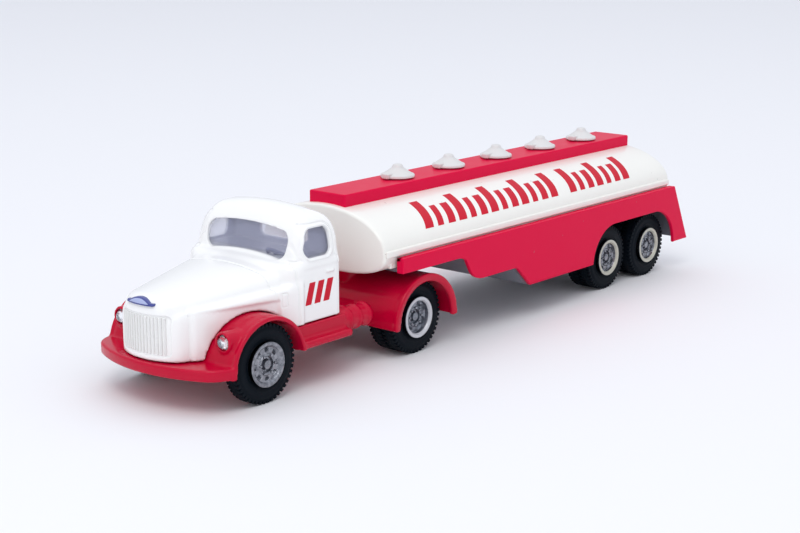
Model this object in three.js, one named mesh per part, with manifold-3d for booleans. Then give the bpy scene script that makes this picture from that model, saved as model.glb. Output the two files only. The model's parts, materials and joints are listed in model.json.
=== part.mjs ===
// A die-cast toy tanker: a bonneted tractor that draws a two-axle tank semi-trailer.
// Millimetres. +X is the nose, +Y the vehicle's left side, +Z up. The origin is on the ground, in
// the middle of the overall length and width, with the trailer straight behind the tractor.

import * as THREE from 'three';
import { mergeVertices } from 'three/addons/utils/BufferGeometryUtils.js';
import Module from 'manifold-3d';

const wasm = await Module();
wasm.setup();

// ---------------------------------------------------------------- driving sizes
const GAP = 0.3; // between neighbouring pieces
const WALL = 1.1; // cast wall of the cab and the tank
const TYRE_SIDES = 20; // facets round a tyre
const HUB_SIDES = 16;
const ARCH_SIDES = 36; // facets of a whole turn of a fender

// wheels and axles
const TYRE_RADIUS = 10.5;
const TYRE_WIDTH = 4.5;
const BEAD_RADIUS = 5.5; // inner radius of a tyre
const HUB_LIP_RADIUS = 5.9;
const AXLE_RADIUS = 0.8;
const HUB_LIP = 0.6; // thickness of a hub's outer lip
const DUAL_GAP = 0.15; // extra room between the two tyres of a pair

// places along the vehicle
const FRONT_OVERHANG = 22.9; // bumper to front axle
const WHEELBASE = 59.4; // front axle to tractor rear axle
const KINGPIN_LEAD = 4; // kingpin ahead of the tractor rear axle
const KINGPIN_TO_AXLE = 100.9; // kingpin to the first trailer axle
const TRAILER_TYRE_GAP = 3.5; // between the tyres of the two trailer axles
const REAR_OVERHANG = 21.3; // second trailer axle to the skirt's lowest rear corner
const TANK_TAIL = 12; // second trailer axle to the rear of the tank

// tractor chassis
const BUMPER_DROP = 1.2; // bumper underside below the axle centre
const BUMPER_HEIGHT = 3;
const FENDER_WALL = 1.2;
const FENDER_CLEARANCE = 1.5; // front arch to tyre
const REAR_FENDER_CLEARANCE = 1.8;
const REAR_FENDER_WALL = 1;
const FENDER_PROUD = 0.4; // front fender outside the hubs
const REAR_FENDER_PROUD = 1.8;
const FRAME_CLEARANCE = 3.6; // frame side to the inner face of a dual hub
const FUEL_TANK_RADIUS = 3.1;
const KINGPIN_RADIUS = 1.5;
const JEWEL_RADIUS = 1.75;

// cab
const CAB_LENGTH = 22.2; // back wall to the front of the cowl
const CAB_HALF_WIDTH = 20.3;
const CAB_BODY_HEIGHT = 16; // door bottom to window sill
const CAB_WINDOW_HEIGHT = 8;
const CAB_ROOF_RISE = 5.2; // window head to the crown of the roof
const CAB_TO_FRONT_AXLE = 8.8; // cowl front behind the front axle
const NOSE_SET_BACK = 1.2; // grille behind the bumper
const NOSE_HALF_WIDTH = 12;

// trailer
const TRAILER_HALF_WIDTH = 25.6; // over the skirts
const SKIRT_WALL = 1.2;
const WHEEL_INSET = 1; // hub face inside the skirt
const TANK_INSET = 2.6; // tank side inside the skirt's outer face
const TANK_CROWN = 11; // middle line to the top
const TANK_BELLY = 7.4; // middle line to the bottom
const TANK_NOSE = 10.3; // tank front ahead of the kingpin
const SKIRT_SET_BACK = 4.7; // skirt front behind the tank front
const SKIRT_RETURN = 1.2; // thickness of the skirt's closed front end
const PLATE_SET_BACK = 4; // where the base plate comes down, behind the skirt's step
const PLATE = 1; // base plate thickness
const WALKWAY_HALF_WIDTH = 6.75;
const WALKWAY_RISE = 3; // above the tank's crown
const HATCH_COUNT = 5;
const HATCH_FRONT_MARGIN = 30.5; // walkway end to the middle of the first hatch
const HATCH_REAR_MARGIN = 19.1;
const HATCH_RADIUS = 5;
const HATCH_HEIGHT = 3.8;

// ---------------------------------------------------------------- places worked out from them
const TRAILER_AXLE_SPACING = 2 * TYRE_RADIUS + TRAILER_TYRE_GAP;
const OVERALL_LENGTH = FRONT_OVERHANG + WHEELBASE - KINGPIN_LEAD + KINGPIN_TO_AXLE
  + TRAILER_AXLE_SPACING + REAR_OVERHANG;
const BUMPER_X = OVERALL_LENGTH / 2;
const AXLE_Z = TYRE_RADIUS;
const FRONT_AXLE_X = BUMPER_X - FRONT_OVERHANG;
const REAR_AXLE_X = FRONT_AXLE_X - WHEELBASE;
const KINGPIN_X = REAR_AXLE_X + KINGPIN_LEAD;
const TRAILER_AXLES_X = [KINGPIN_X - KINGPIN_TO_AXLE, KINGPIN_X - KINGPIN_TO_AXLE - TRAILER_AXLE_SPACING];

const SKIRT_INNER_Y = TRAILER_HALF_WIDTH - SKIRT_WALL;
const TANK_HALF_WIDTH = TRAILER_HALF_WIDTH - TANK_INSET;
const WHEEL_FACE_Y = SKIRT_INNER_Y - WHEEL_INSET; // outer face of every hub
const CHASSIS_HALF_WIDTH = WHEEL_FACE_Y + FENDER_PROUD;
const REAR_FENDER_HALF_WIDTH = WHEEL_FACE_Y + REAR_FENDER_PROUD;
const hubWidth = (rows) => HUB_LIP + GAP + rows * TYRE_WIDTH + (rows - 1) * DUAL_GAP + GAP + 0.5;
const FRAME_HALF_WIDTH = WHEEL_FACE_Y - hubWidth(2) - FRAME_CLEARANCE;

const BUMPER_Z = AXLE_Z - BUMPER_DROP;
const BUMPER_TOP = BUMPER_Z + BUMPER_HEIGHT;
const ARCH_X = FRONT_AXLE_X - 0.8; // front arch centre, a little behind the wheel's
const ARCH_Z = AXLE_Z - 0.9;
const ARCH_INNER = TYRE_RADIUS + FENDER_CLEARANCE;
const ARCH_OUTER = ARCH_INNER + FENDER_WALL;
const REAR_ARCH_X = REAR_AXLE_X - 1.4;
const REAR_ARCH_Z = AXLE_Z - 1;
const REAR_ARCH_INNER = TYRE_RADIUS + REAR_FENDER_CLEARANCE;
const REAR_ARCH_OUTER = REAR_ARCH_INNER + REAR_FENDER_WALL;
const FLOOR_TOP = AXLE_Z + 6.3; // the floor that carries the cab

const CAB_Z = FLOOR_TOP + GAP;
const SILL_Z = CAB_Z + CAB_BODY_HEIGHT;
const WINDOW_HEAD_Z = SILL_Z + CAB_WINDOW_HEIGHT;
const ROOF_Z = WINDOW_HEAD_Z + CAB_ROOF_RISE;
const COWL_X = FRONT_AXLE_X - CAB_TO_FRONT_AXLE;
const CAB_BACK_X = COWL_X - CAB_LENGTH;
const SCREEN_X = COWL_X - 6.4; // foot of the windscreen
const NOSE_X = BUMPER_X - NOSE_SET_BACK;

const DECK_Z = REAR_ARCH_Z + REAR_ARCH_OUTER + 2; // underside of the base plate at the coupling
const LEDGE_Z = DECK_Z + PLATE + GAP; // underside of the tank's side ledge
const TANK_Z = LEDGE_Z + 4.8; // middle line of the tank
const TANK_FRONT_X = KINGPIN_X + TANK_NOSE;
const TANK_REAR_X = TRAILER_AXLES_X[1] - TANK_TAIL;
const SKIRT_FRONT_X = TANK_FRONT_X - SKIRT_SET_BACK;
const SKIRT_TOP = TANK_Z - 1.7;
const STEP_Z = AXLE_Z + 6.7; // lower edge of the skirt behind the tractor
const SKIRT_LOW_Z = AXLE_Z + 0.1; // lower edge of the skirt ahead of the wheels
const TANK_TOP = TANK_Z + TANK_CROWN;
const WALKWAY_TOP = TANK_TOP + WALKWAY_RISE;
const SWING_X = KINGPIN_X - 18.5; // where the skirt may first come down behind the tractor

// ---------------------------------------------------------------- materials
const paint = (color, roughness = 0.3) => new THREE.MeshStandardMaterial({ color, roughness });
const metal = (color, roughness = 0.25) => new THREE.MeshStandardMaterial({ color, roughness, metalness: 1 });
const RED = paint(0xb80f1e);
const WHITE = paint(0xf2f2ee);
const CREAM = paint(0xefece2);
const RUBBER = paint(0x16161a, 0.75);
const DARK_GREY = paint(0x3a3c42, 0.55);
const GREY = paint(0x9a9ba3, 0.5);
const NAVY = paint(0x1b2540, 0.4);
const BLUE = paint(0x22357e, 0.35);
const CHROME = metal(0xc9ccd0);
const STEEL = metal(0x9da0a5, 0.35);
const CLEAR = new THREE.MeshStandardMaterial({
  color: 0xdfe6ea, roughness: 0.05, transparent: true, opacity: 0.35,
});

// ---------------------------------------------------------------- shape helpers
/** Manifold solid of a closed three.js geometry. */
function solid(geometry) {
  const bare = geometry.clone();
  bare.deleteAttribute('normal');
  bare.deleteAttribute('uv');
  const merged = mergeVertices(bare, 1e-4);
  const vertProperties = new Float32Array(merged.attributes.position.array);
  const triVerts = new Uint32Array(merged.index.array);
  return new wasm.Manifold(new wasm.Mesh({ numProp: 3, vertProperties, triVerts }));
}

/** three.js geometry of a Manifold solid. */
function geometryOf(body) {
  const mesh = body.getMesh();
  const geometry = new THREE.BufferGeometry();
  geometry.setAttribute('position', new THREE.BufferAttribute(new Float32Array(mesh.vertProperties), 3));
  geometry.setIndex(new THREE.BufferAttribute(new Uint32Array(mesh.triVerts), 1));
  return geometry;
}

const union = (...bodies) => bodies.flat().reduce((sum, body) => sum.add(body));
const cut = (body, ...tools) => tools.flat().reduce((rest, tool) => rest.subtract(tool), body);

function box(x0, x1, y0, y1, z0, z1) {
  const geometry = new THREE.BoxGeometry(x1 - x0, y1 - y0, z1 - z0);
  return solid(geometry.translate((x0 + x1) / 2, (y0 + y1) / 2, (z0 + z1) / 2));
}

/** Cylinder along Y from y0 to y1, round the line at x, z. */
function cylinderY(radius, y0, y1, x, z, sides = 32) {
  const geometry = new THREE.CylinderGeometry(radius, radius, y1 - y0, sides);
  return solid(geometry.translate(x, (y0 + y1) / 2, z));
}

/** Cylinder along X from x0 to x1, round the line at y, z. */
function cylinderX(radius, x0, x1, y, z, sides = 20) {
  const geometry = new THREE.CylinderGeometry(radius, radius, x1 - x0, sides);
  return solid(geometry.rotateZ(Math.PI / 2).translate((x0 + x1) / 2, y, z));
}

/** Cylinder along Z from z0 to z1, round the line at x, y. */
function cylinderZ(radius, z0, z1, x, y, sides = 20) {
  const geometry = new THREE.CylinderGeometry(radius, radius, z1 - z0, sides);
  return solid(geometry.rotateX(Math.PI / 2).translate(x, y, (z0 + z1) / 2));
}

const extrusion = (shape, depth, curveSegments) => new THREE.ExtrudeGeometry(shape, {
  depth, curveSegments, bevelEnabled: false,
});

/** Outline in x, y drawn up from z0 to z1. */
function extrudeZ(shape, z0, z1, curveSegments = 8) {
  return solid(extrusion(shape, z1 - z0, curveSegments).translate(0, 0, z0));
}

/** Outline in x, z drawn along Y from y0 to y1. */
function extrudeY(shape, y0, y1, curveSegments = 8) {
  return solid(extrusion(shape, y1 - y0, curveSegments).rotateX(Math.PI / 2).translate(0, y1, 0));
}

/** Outline in y, z drawn along X from x0 to x1. */
function extrudeX(shape, x0, x1, curveSegments = 8) {
  const turn = new THREE.Matrix4().makeBasis(
    new THREE.Vector3(0, 1, 0),
    new THREE.Vector3(0, 0, 1),
    new THREE.Vector3(1, 0, 0),
  );
  return solid(extrusion(shape, x1 - x0, curveSegments).applyMatrix4(turn).translate(x0, 0, 0));
}

const outline = (points) => new THREE.Shape(points.map(([a, b]) => new THREE.Vector2(a, b)));

/** Outline with a rounded rectangle's four arcs; a and b are the two axes of its plane. */
function roundedOutline(a0, a1, b0, b1, radius) {
  const shape = new THREE.Shape();
  shape.absarc(a1 - radius, b0 + radius, radius, -Math.PI / 2, 0);
  shape.absarc(a1 - radius, b1 - radius, radius, 0, Math.PI / 2);
  shape.absarc(a0 + radius, b1 - radius, radius, Math.PI / 2, Math.PI);
  shape.absarc(a0 + radius, b0 + radius, radius, Math.PI, Math.PI * 1.5);
  return shape;
}

/** Closed solid through a row of matching rings, each a list of [x, y, z], with flat ends. */
function loft(rings) {
  const count = rings[0].length;
  const positions = rings.flat(2);
  const triangles = [];
  for (let row = 0; row + 1 < rings.length; row += 1) {
    for (let i = 0; i < count; i += 1) {
      const a = row * count + i;
      const b = row * count + ((i + 1) % count);
      triangles.push(a, b, b + count, a, b + count, a + count);
    }
  }
  const last = (rings.length - 1) * count;
  for (let i = 1; i + 1 < count; i += 1) {
    triangles.push(0, i + 1, i, last, last + i, last + i + 1);
  }
  const geometry = new THREE.BufferGeometry();
  geometry.setAttribute('position', new THREE.Float32BufferAttribute(positions, 3));
  geometry.setIndex(triangles);
  return solid(geometry);
}

/** Outline of a bent strip: a line of [a, b] points and the same line moved to its left. */
function strip(points, thickness) {
  const side = points.map(([a, b], i) => {
    const [pa, pb] = points[Math.max(i - 1, 0)];
    const [na, nb] = points[Math.min(i + 1, points.length - 1)];
    const before = new THREE.Vector2(a - pa, b - pb);
    const after = new THREE.Vector2(na - a, nb - b);
    if (i === 0) before.copy(after);
    if (i === points.length - 1) after.copy(before);
    const n1 = new THREE.Vector2(-before.y, before.x).normalize();
    const n2 = new THREE.Vector2(-after.y, after.x).normalize();
    const mitre = n1.clone().add(n2).normalize();
    const reach = thickness / Math.max(mitre.dot(n1), 0.5);
    return [a + mitre.x * reach, b + mitre.y * reach];
  });
  return outline([...points, ...side.reverse()]);
}

const bothSides = (make) => [make(1), make(-1)];

/** y range from a to b on one side of the vehicle, lowest first. */
const span = (side, a, b) => (side > 0 ? [a, b] : [-b, -a]);

// ---------------------------------------------------------------- tractor chassis
/** Plan of the bumper: a bowed front with round corners, closed behind at x = back. */
function bumperPlan(back) {
  const bow = 43.4;
  const corner = 6.5;
  const half = CHASSIS_HALF_WIDTH;
  const centreX = BUMPER_X - bow;
  const cornerY = half - corner;
  const cornerX = centreX + Math.sqrt((bow - corner) ** 2 - cornerY ** 2);
  const swing = Math.atan2(cornerY, cornerX - centreX);
  const shape = new THREE.Shape();
  shape.moveTo(back, -half);
  shape.absarc(cornerX, -cornerY, corner, -Math.PI / 2, -swing);
  shape.absarc(centreX, 0, bow, -swing, swing);
  shape.absarc(cornerX, cornerY, corner, swing, Math.PI / 2);
  shape.lineTo(back, half);
  return shape;
}

/** Half tube over a wheel, open below z = foot. */
function arch(x, z, outer, inner, y0, y1, foot) {
  const shell = cylinderY(outer, y0, y1, x, z, ARCH_SIDES)
    .subtract(cylinderY(inner, y0 - 1, y1 + 1, x, z, ARCH_SIDES));
  const below = box(x - outer - 1, x + outer + 1, y0 - 1, y1 + 1, z - outer - 1, foot);
  return shell.subtract(below);
}

/** Bearing lugs that an axle runs through, one on each side of a frame. */
function lugs(x, y, top) {
  return bothSides((side) => box(x - 2.4, x + 2.4, ...span(side, y - 1.4, y), AXLE_Z - 2.6, top));
}

const axleBore = (x) => cylinderY(AXLE_RADIUS + GAP, -30, 30, x, AXLE_Z, 16);

const FUEL_TANK_Y = CAB_HALF_WIDTH + 0.7 - FUEL_TANK_RADIUS;
const FUEL_TANK_Z = AXLE_Z + 3.9;
const BOARD_Y = CAB_HALF_WIDTH + 0.7; // outer face of the sill panels
const JEWEL_Y = CHASSIS_HALF_WIDTH - 4.6;
const JEWEL_Z = ARCH_Z + 8.4;
const JEWEL_SEAT_X = ARCH_X + ARCH_OUTER - 1.6;
const BOSS_TOP = DECK_Z - GAP;
const BOSS_RADIUS = 5;
const CAB_RIVETS_X = [NOSE_X - 8.5, CAB_BACK_X + 4.5];

function fuelTank(side) {
  const y = side * FUEL_TANK_Y;
  const back = REAR_ARCH_X + REAR_ARCH_OUTER + 4.6;
  const front = CAB_BACK_X - GAP;
  const barrel = cylinderX(FUEL_TANK_RADIUS, back, front, y, FUEL_TANK_Z);
  const bands = [0.08, 0.4, 0.72].map((share) => back + share * (front - back)).map((x) => (
    cylinderX(FUEL_TANK_RADIUS + 0.35, x, x + 1.1, y, FUEL_TANK_Z)));
  const bracket = box((back + front) / 2, front, ...span(side, FRAME_HALF_WIDTH - 1, FUEL_TANK_Y),
    FUEL_TANK_Z - 1, FUEL_TANK_Z + 0.6);
  return union(barrel, bands, bracket);
}

function tractorChassis() {
  const bumperBack = ARCH_X + ARCH_INNER - 1;
  const bumper = extrudeZ(bumperPlan(bumperBack), BUMPER_Z, BUMPER_TOP, 10);
  const wheelWells = cylinderY(ARCH_INNER, -40, 40, ARCH_X, ARCH_Z, ARCH_SIDES);
  const frameRear = REAR_ARCH_X - REAR_ARCH_OUTER + 0.5;
  const frameTop = AXLE_Z + 4.5;
  const frame = [
    box(frameRear, CAB_RIVETS_X[0] - 3.5, -FRAME_HALF_WIDTH, FRAME_HALF_WIDTH, frameTop - 1.4, frameTop),
    ...bothSides((side) => box(frameRear, bumperBack + 2,
      ...span(side, FRAME_HALF_WIDTH - 1.4, FRAME_HALF_WIDTH), BUMPER_Z, frameTop)),
    ...lugs(FRONT_AXLE_X, FRAME_HALF_WIDTH, frameTop),
    ...lugs(REAR_AXLE_X, FRAME_HALF_WIDTH, frameTop),
  ];
  const fenders = bothSides((side) => arch(ARCH_X, ARCH_Z, ARCH_OUTER, ARCH_INNER,
    ...span(side, FRAME_HALF_WIDTH - 1, CHASSIS_HALF_WIDTH), AXLE_Z + 0.8));
  const fenderFeet = bothSides((side) => arch(ARCH_X, ARCH_Z, ARCH_OUTER, ARCH_INNER,
    ...span(side, FRAME_HALF_WIDTH - 1, CHASSIS_HALF_WIDTH), BUMPER_Z)
    .subtract(box(ARCH_X - 40, ARCH_X, -40, 40, 0, 60)));
  const sillFront = ARCH_X - ARCH_INNER - 0.2;
  const sillBack = CAB_BACK_X - GAP - 0.5;
  const floor = box(sillBack, sillFront, -BOARD_Y, BOARD_Y, FLOOR_TOP - 1.4, FLOOR_TOP);
  const pedestal = box(CAB_BACK_X + 3, sillFront - 2, -FRAME_HALF_WIDTH, FRAME_HALF_WIDTH,
    frameTop - 1, FLOOR_TOP);
  const sills = bothSides((side) => box(sillBack, sillFront, ...span(side, BOARD_Y - 1.2, BOARD_Y),
    AXLE_Z + 0.8, FLOOR_TOP));
  const boards = bothSides((side) => box(sillBack, sillFront,
    ...span(side, BOARD_Y - 3, CHASSIS_HALF_WIDTH - 0.2), AXLE_Z + 0.8, AXLE_Z + 2.8));
  const bridge = arch(REAR_ARCH_X, REAR_ARCH_Z, REAR_ARCH_OUTER, REAR_ARCH_INNER,
    -REAR_FENDER_HALF_WIDTH, REAR_FENDER_HALF_WIDTH, AXLE_Z - 1.6);
  const bridgeStem = box(KINGPIN_X - 6, KINGPIN_X + 6, -FRAME_HALF_WIDTH, FRAME_HALF_WIDTH, frameTop - 1,
    REAR_ARCH_Z + REAR_ARCH_INNER - 1.5)
    .intersect(cylinderY(REAR_ARCH_INNER + 0.3, -20, 20, REAR_ARCH_X, REAR_ARCH_Z, ARCH_SIDES));
  const boss = cylinderZ(BOSS_RADIUS, REAR_ARCH_Z + REAR_ARCH_INNER - 2.5, BOSS_TOP, KINGPIN_X, 0, 28);
  const bosses = bothSides((side) => cylinderX(JEWEL_RADIUS + 0.7, JEWEL_SEAT_X - 4, JEWEL_SEAT_X + 1.1,
    side * JEWEL_Y, JEWEL_Z, 20));
  const pockets = bothSides((side) => cylinderX(JEWEL_RADIUS + GAP, JEWEL_SEAT_X, JEWEL_SEAT_X + 9,
    side * JEWEL_Y, JEWEL_Z, 20));
  const rivetHoles = CAB_RIVETS_X.map((x) => cylinderZ(1.3, 0, FLOOR_TOP + 1, x, 0, 16));
  const body = union(
    bumper.subtract(wheelWells), frame, fenders, fenderFeet, floor, pedestal, sills, boards,
    fuelTank(1), fuelTank(-1), bridge, bridgeStem, boss, bosses,
  );
  const wells = bothSides((side) => cylinderY(ARCH_INNER, ...span(side, FRAME_HALF_WIDTH, 30),
    ARCH_X, ARCH_Z, ARCH_SIDES));
  return cut(body, wells, pockets, rivetHoles, axleBore(FRONT_AXLE_X), axleBore(REAR_AXLE_X),
    cylinderZ(KINGPIN_RADIUS + 0.4, 0, BOSS_TOP + 1, KINGPIN_X, 0, 24));
}

// ---------------------------------------------------------------- cab
/** Level ring of the cab: a rounded rectangle from x0 to x1. */
function cabRing(x0, x1, half, radius, z) {
  const corners = [[x1 - radius, half - radius, 0], [x0 + 2, half - 2, 1], [x0 + 2, 2 - half, 2],
    [x1 - radius, radius - half, 3]];
  return corners.flatMap(([cx, cy, quarter]) => {
    const r = quarter === 0 || quarter === 3 ? radius : 2;
    return Array.from({ length: 7 }, (_, i) => {
      const angle = ((quarter + i / 6) * Math.PI) / 2;
      return [cx + r * Math.cos(angle), cy + r * Math.sin(angle), z];
    });
  });
}

/** Level ring of the cab drawn in by inset. */
const cabLevel = (inset) => (z, back, front, half, radius) => cabRing(
  CAB_BACK_X + back + inset, front - inset, half - inset, radius, z);

/** Closed cab body without the bonnet, drawn in by inset on every side but the open bottom. */
function cabBody(inset) {
  const level = cabLevel(inset);
  const h = CAB_HALF_WIDTH;
  const top = ROOF_Z - inset;
  return loft([
    level(CAB_Z - (inset ? 1 : 0), 0, COWL_X, h, 5),
    level(SILL_Z - 3, 0, COWL_X, h, 5),
    level(SILL_Z - 1.4, 0, COWL_X - 0.9, h, 5),
    level(SILL_Z - 0.4 - inset * 0.5, 0, COWL_X - 3, h - 0.1, 4.5),
    level(SILL_Z - inset * 0.5, 0, SCREEN_X + 0.5, h - 0.2, 3.6),
    level(WINDOW_HEAD_Z - 1, 0.1, SCREEN_X - 1.4, h - 1, 3.6),
    level(top - 3.3, 0.6, SCREEN_X - 2.1, h - 2.2, 4),
    level(top - 1.7, 1.6, SCREEN_X - 3.4, h - 4.2, 5),
    level(top - 0.6, 3.4, SCREEN_X - 5.4, h - 8, 5),
    level(top, 6, SCREEN_X - 8, h - 14, 2.5),
  ]);
}

/** Upright ring across the bonnet at x: flat sides, a ledge along each, and a crowned top. */
function bonnetRing(x, half, ledge, shoulder, crown, foot, inset) {
  const w = half - inset;
  const side = [
    [w - 0.6, foot], [w - 0.6, ledge - inset], [w, ledge + 0.4 - inset], [w - 0.3, ledge + 1.8 - inset],
    [w - 1.9, shoulder - inset], [w - 5.2, (shoulder * 0.45 + crown * 0.55) - inset],
    [(w - 5.2) / 2, (shoulder * 0.1 + crown * 0.9) - inset],
  ];
  const right = side.map(([y, z]) => [x, y, z]);
  const left = side.map(([y, z]) => [x, -y, z]).reverse();
  return [...right, [x, 0, crown - inset], ...left];
}

/** Bonnet and grille shell, drawn in by inset, closed below at foot. */
function bonnet(inset) {
  const foot = BUMPER_TOP + GAP - (inset ? 1 : 0);
  const ledge = CAB_Z + 7.7;
  const body = loft([
    bonnetRing(COWL_X - 2.5, CAB_HALF_WIDTH - 1.5, ledge - 0.3, SILL_Z - 5.1, SILL_Z - 1, foot, inset),
    bonnetRing(NOSE_X + 2, NOSE_HALF_WIDTH, ledge, SILL_Z - 6, SILL_Z - 5.2, foot, inset),
  ]);
  const bow = 18.2;
  const corner = 3;
  const half = NOSE_HALF_WIDTH + 0.4 - inset;
  const centreX = NOSE_X - bow;
  const cornerY = half - corner;
  const cornerX = centreX + Math.sqrt((bow - inset - corner) ** 2 - cornerY ** 2);
  const swing = Math.atan2(cornerY, cornerX - centreX);
  const plan = new THREE.Shape();
  plan.moveTo(COWL_X - 5, -half - 9);
  plan.lineTo(cornerX - 3, -half - 9);
  plan.lineTo(cornerX, -half);
  plan.absarc(cornerX, -cornerY, corner, -Math.PI / 2, -swing);
  plan.absarc(centreX, 0, bow - inset, -swing, swing);
  plan.absarc(cornerX, cornerY, corner, swing, Math.PI / 2);
  plan.lineTo(cornerX - 3, half + 9);
  plan.lineTo(COWL_X - 5, half + 9);
  const round = 3.6;
  const noseTop = SILL_Z - 5 - inset;
  const profile = new THREE.Shape();
  profile.moveTo(COWL_X - 5, foot - 1);
  profile.lineTo(NOSE_X - inset, foot - 1);
  profile.absarc(NOSE_X - inset - round, noseTop - round, round, 0, Math.PI / 2);
  profile.lineTo(COWL_X - 5, noseTop + 9);
  return body.intersect(extrudeZ(plan, 0, 60, 10)).intersect(extrudeY(profile, -30, 30, 6));
}

/** Windscreen, door and rear window openings as prisms. */
function windowOpenings() {
  const screen = new THREE.Shape();
  const [low, high] = [SILL_Z + 0.5, WINDOW_HEAD_Z - 0.2];
  const foot = CAB_HALF_WIDTH - 6.6;
  const head = CAB_HALF_WIDTH - 5.6;
  screen.absarc(foot - 2, low + 2, 2, -Math.PI / 2, 0);
  screen.absarc(head - 2, high - 2, 2, 0, Math.PI / 2);
  screen.absarc(2 - head, high - 2, 2, Math.PI / 2, Math.PI);
  screen.absarc(2 - foot, low + 2, 2, Math.PI, Math.PI * 1.5);
  const door = roundedOutline(CAB_BACK_X + 3.9, SCREEN_X - 1, SILL_Z + 0.7, WINDOW_HEAD_Z - 0.1, 2.2);
  const rear = roundedOutline(-9, 9, SILL_Z + 1.6, WINDOW_HEAD_Z - 0.6, 1.8);
  return [
    extrudeX(screen, SCREEN_X - 5, SCREEN_X + 4, 4),
    extrudeY(door, -40, 40, 4),
    extrudeX(rear, CAB_BACK_X - 2, CAB_BACK_X + 4, 4),
  ];
}

function cabShell() {
  const outside = cabBody(0).add(bonnet(0));
  const inside = cabBody(WALL).add(bonnet(WALL));
  const shell = cut(outside.subtract(inside), windowOpenings());
  const [frontRivet, rearRivet] = CAB_RIVETS_X;
  const posts = [
    cylinderZ(2.2, BUMPER_TOP + GAP, SILL_Z, frontRivet, 0, 20).intersect(outside),
    cylinderZ(2.2, CAB_Z, SILL_Z - 1, rearRivet, 0, 20),
    box(CAB_BACK_X + 0.5, rearRivet, -1, 1, CAB_Z, SILL_Z - 1),
  ];
  const bores = [
    cylinderZ(1.3, 0, BUMPER_TOP + 7, frontRivet, 0, 16),
    cylinderZ(1.3, 0, CAB_Z + 6, rearRivet, 0, 16),
  ];
  const fenderRelief = cylinderY(ARCH_OUTER + GAP, -40, 40, ARCH_X, ARCH_Z, ARCH_SIDES);
  const frameRelief = box(COWL_X - 1, ARCH_X, -40, 40, 0, CAB_Z);
  return cut(union(shell, posts), bores, fenderRelief, frameRelief);
}

/** Clear band behind all the windows. */
function cabGlazing() {
  const h = CAB_HALF_WIDTH;
  const lean = 1.9 / (CAB_WINDOW_HEIGHT - 1); // the screen leans back this much for each step up
  const column = (inset, below, above) => {
    const level = cabLevel(inset);
    return loft([
      level(SILL_Z - below, 0, SCREEN_X + 0.5, h - 0.3, 3.6),
      level(SILL_Z, 0, SCREEN_X + 0.5, h - 0.3, 3.6),
      level(WINDOW_HEAD_Z - 1, 0.2, SCREEN_X - 1.4, h - 1.1, 3.6),
      level(WINDOW_HEAD_Z + above, 0.5, SCREEN_X - 1.4 - lean * (above + 1), h - 2.1, 3.6),
    ]);
  };
  return column(WALL + GAP, 0.8, 0.5).subtract(column(WALL + GAP + 0.8, 1.8, 1.5));
}

function cabInterior() {
  const half = CAB_HALF_WIDTH - WALL - 3;
  const back = CAB_RIVETS_X[1] + 2.2 + GAP;
  const front = SCREEN_X + 1;
  const seat = CAB_Z + 6.5;
  return union(
    box(back, front, -half, half, CAB_Z, CAB_Z + 1),
    box(back, back + 6.5, -half, half, CAB_Z, seat),
    box(back, back + 1.6, -half, half, CAB_Z, SILL_Z - 4),
    box(front - 2.2, front, -half, half, CAB_Z, SILL_Z - 2.8),
  );
}

const WHEEL_TILT = 0.6; // steering wheel's lean from level, radians
const STEERING_Y = 6.5;

/** Steering wheel with its column, leaning back towards the driver. */
function steeringWheel() {
  const x = SCREEN_X - 5.6;
  const z = SILL_Z - 0.2;
  const ring = new THREE.TorusGeometry(3, 0.4, 8, 20);
  const hub = new THREE.CylinderGeometry(0.9, 0.9, 0.8, 12).rotateX(Math.PI / 2);
  const spokes = [0, 1, 2].map((i) => new THREE.BoxGeometry(3.1, 0.6, 0.5)
    .translate(1.5, 0, 0).rotateZ(Math.PI / 2 + (i * Math.PI * 2) / 3));
  const column = new THREE.CylinderGeometry(0.5, 0.5, 1.8, 12).rotateX(Math.PI / 2).translate(0, 0, -1.1);
  const parts = [ring, hub, ...spokes, column];
  return union(parts.map((part) => solid(part.rotateY(-WHEEL_TILT).translate(x, STEERING_Y, z))));
}

/** Faceted headlight jewel facing forward. */
function jewel(side) {
  const profile = [[0, 0], [JEWEL_RADIUS, 0], [JEWEL_RADIUS, 0.6], [JEWEL_RADIUS * 0.6, 1.3], [0, 1.5]];
  const cone = new THREE.LatheGeometry(profile.map(([r, h]) => new THREE.Vector2(r, h)), 10);
  return cone.rotateZ(-Math.PI / 2).translate(JEWEL_SEAT_X + GAP, side * JEWEL_Y, JEWEL_Z);
}

/** Plain badge that follows the round front edge of the bonnet. */
function badge() {
  const slope = 0.85; // radians above level
  const step = (distance) => [distance * Math.cos(slope), 0, distance * Math.sin(slope)];
  const skin = bonnet(0);
  const sheet = skin.translate(step(GAP + 0.35)).subtract(skin.translate(step(GAP)));
  const shape = new THREE.Shape();
  shape.moveTo(-5, -1.1);
  shape.lineTo(5, -1.1);
  shape.lineTo(4.4, -0.1);
  shape.quadraticCurveTo(0, 2.3, -4.4, -0.1);
  const stamp = extrusion(shape, 6, 10)
    .rotateY(Math.PI / 2)
    .rotateX(Math.PI / 2)
    .rotateY(-slope)
    .translate(NOSE_X - 4, 0, SILL_Z - 9);
  return sheet.intersect(solid(stamp));
}

const rivet = (x, headZ, top, y = 0) => union(
  cylinderZ(1, headZ, top, x, y, 14),
  cylinderZ(2, headZ - 0.7, headZ, x, y, 14),
);

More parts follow.
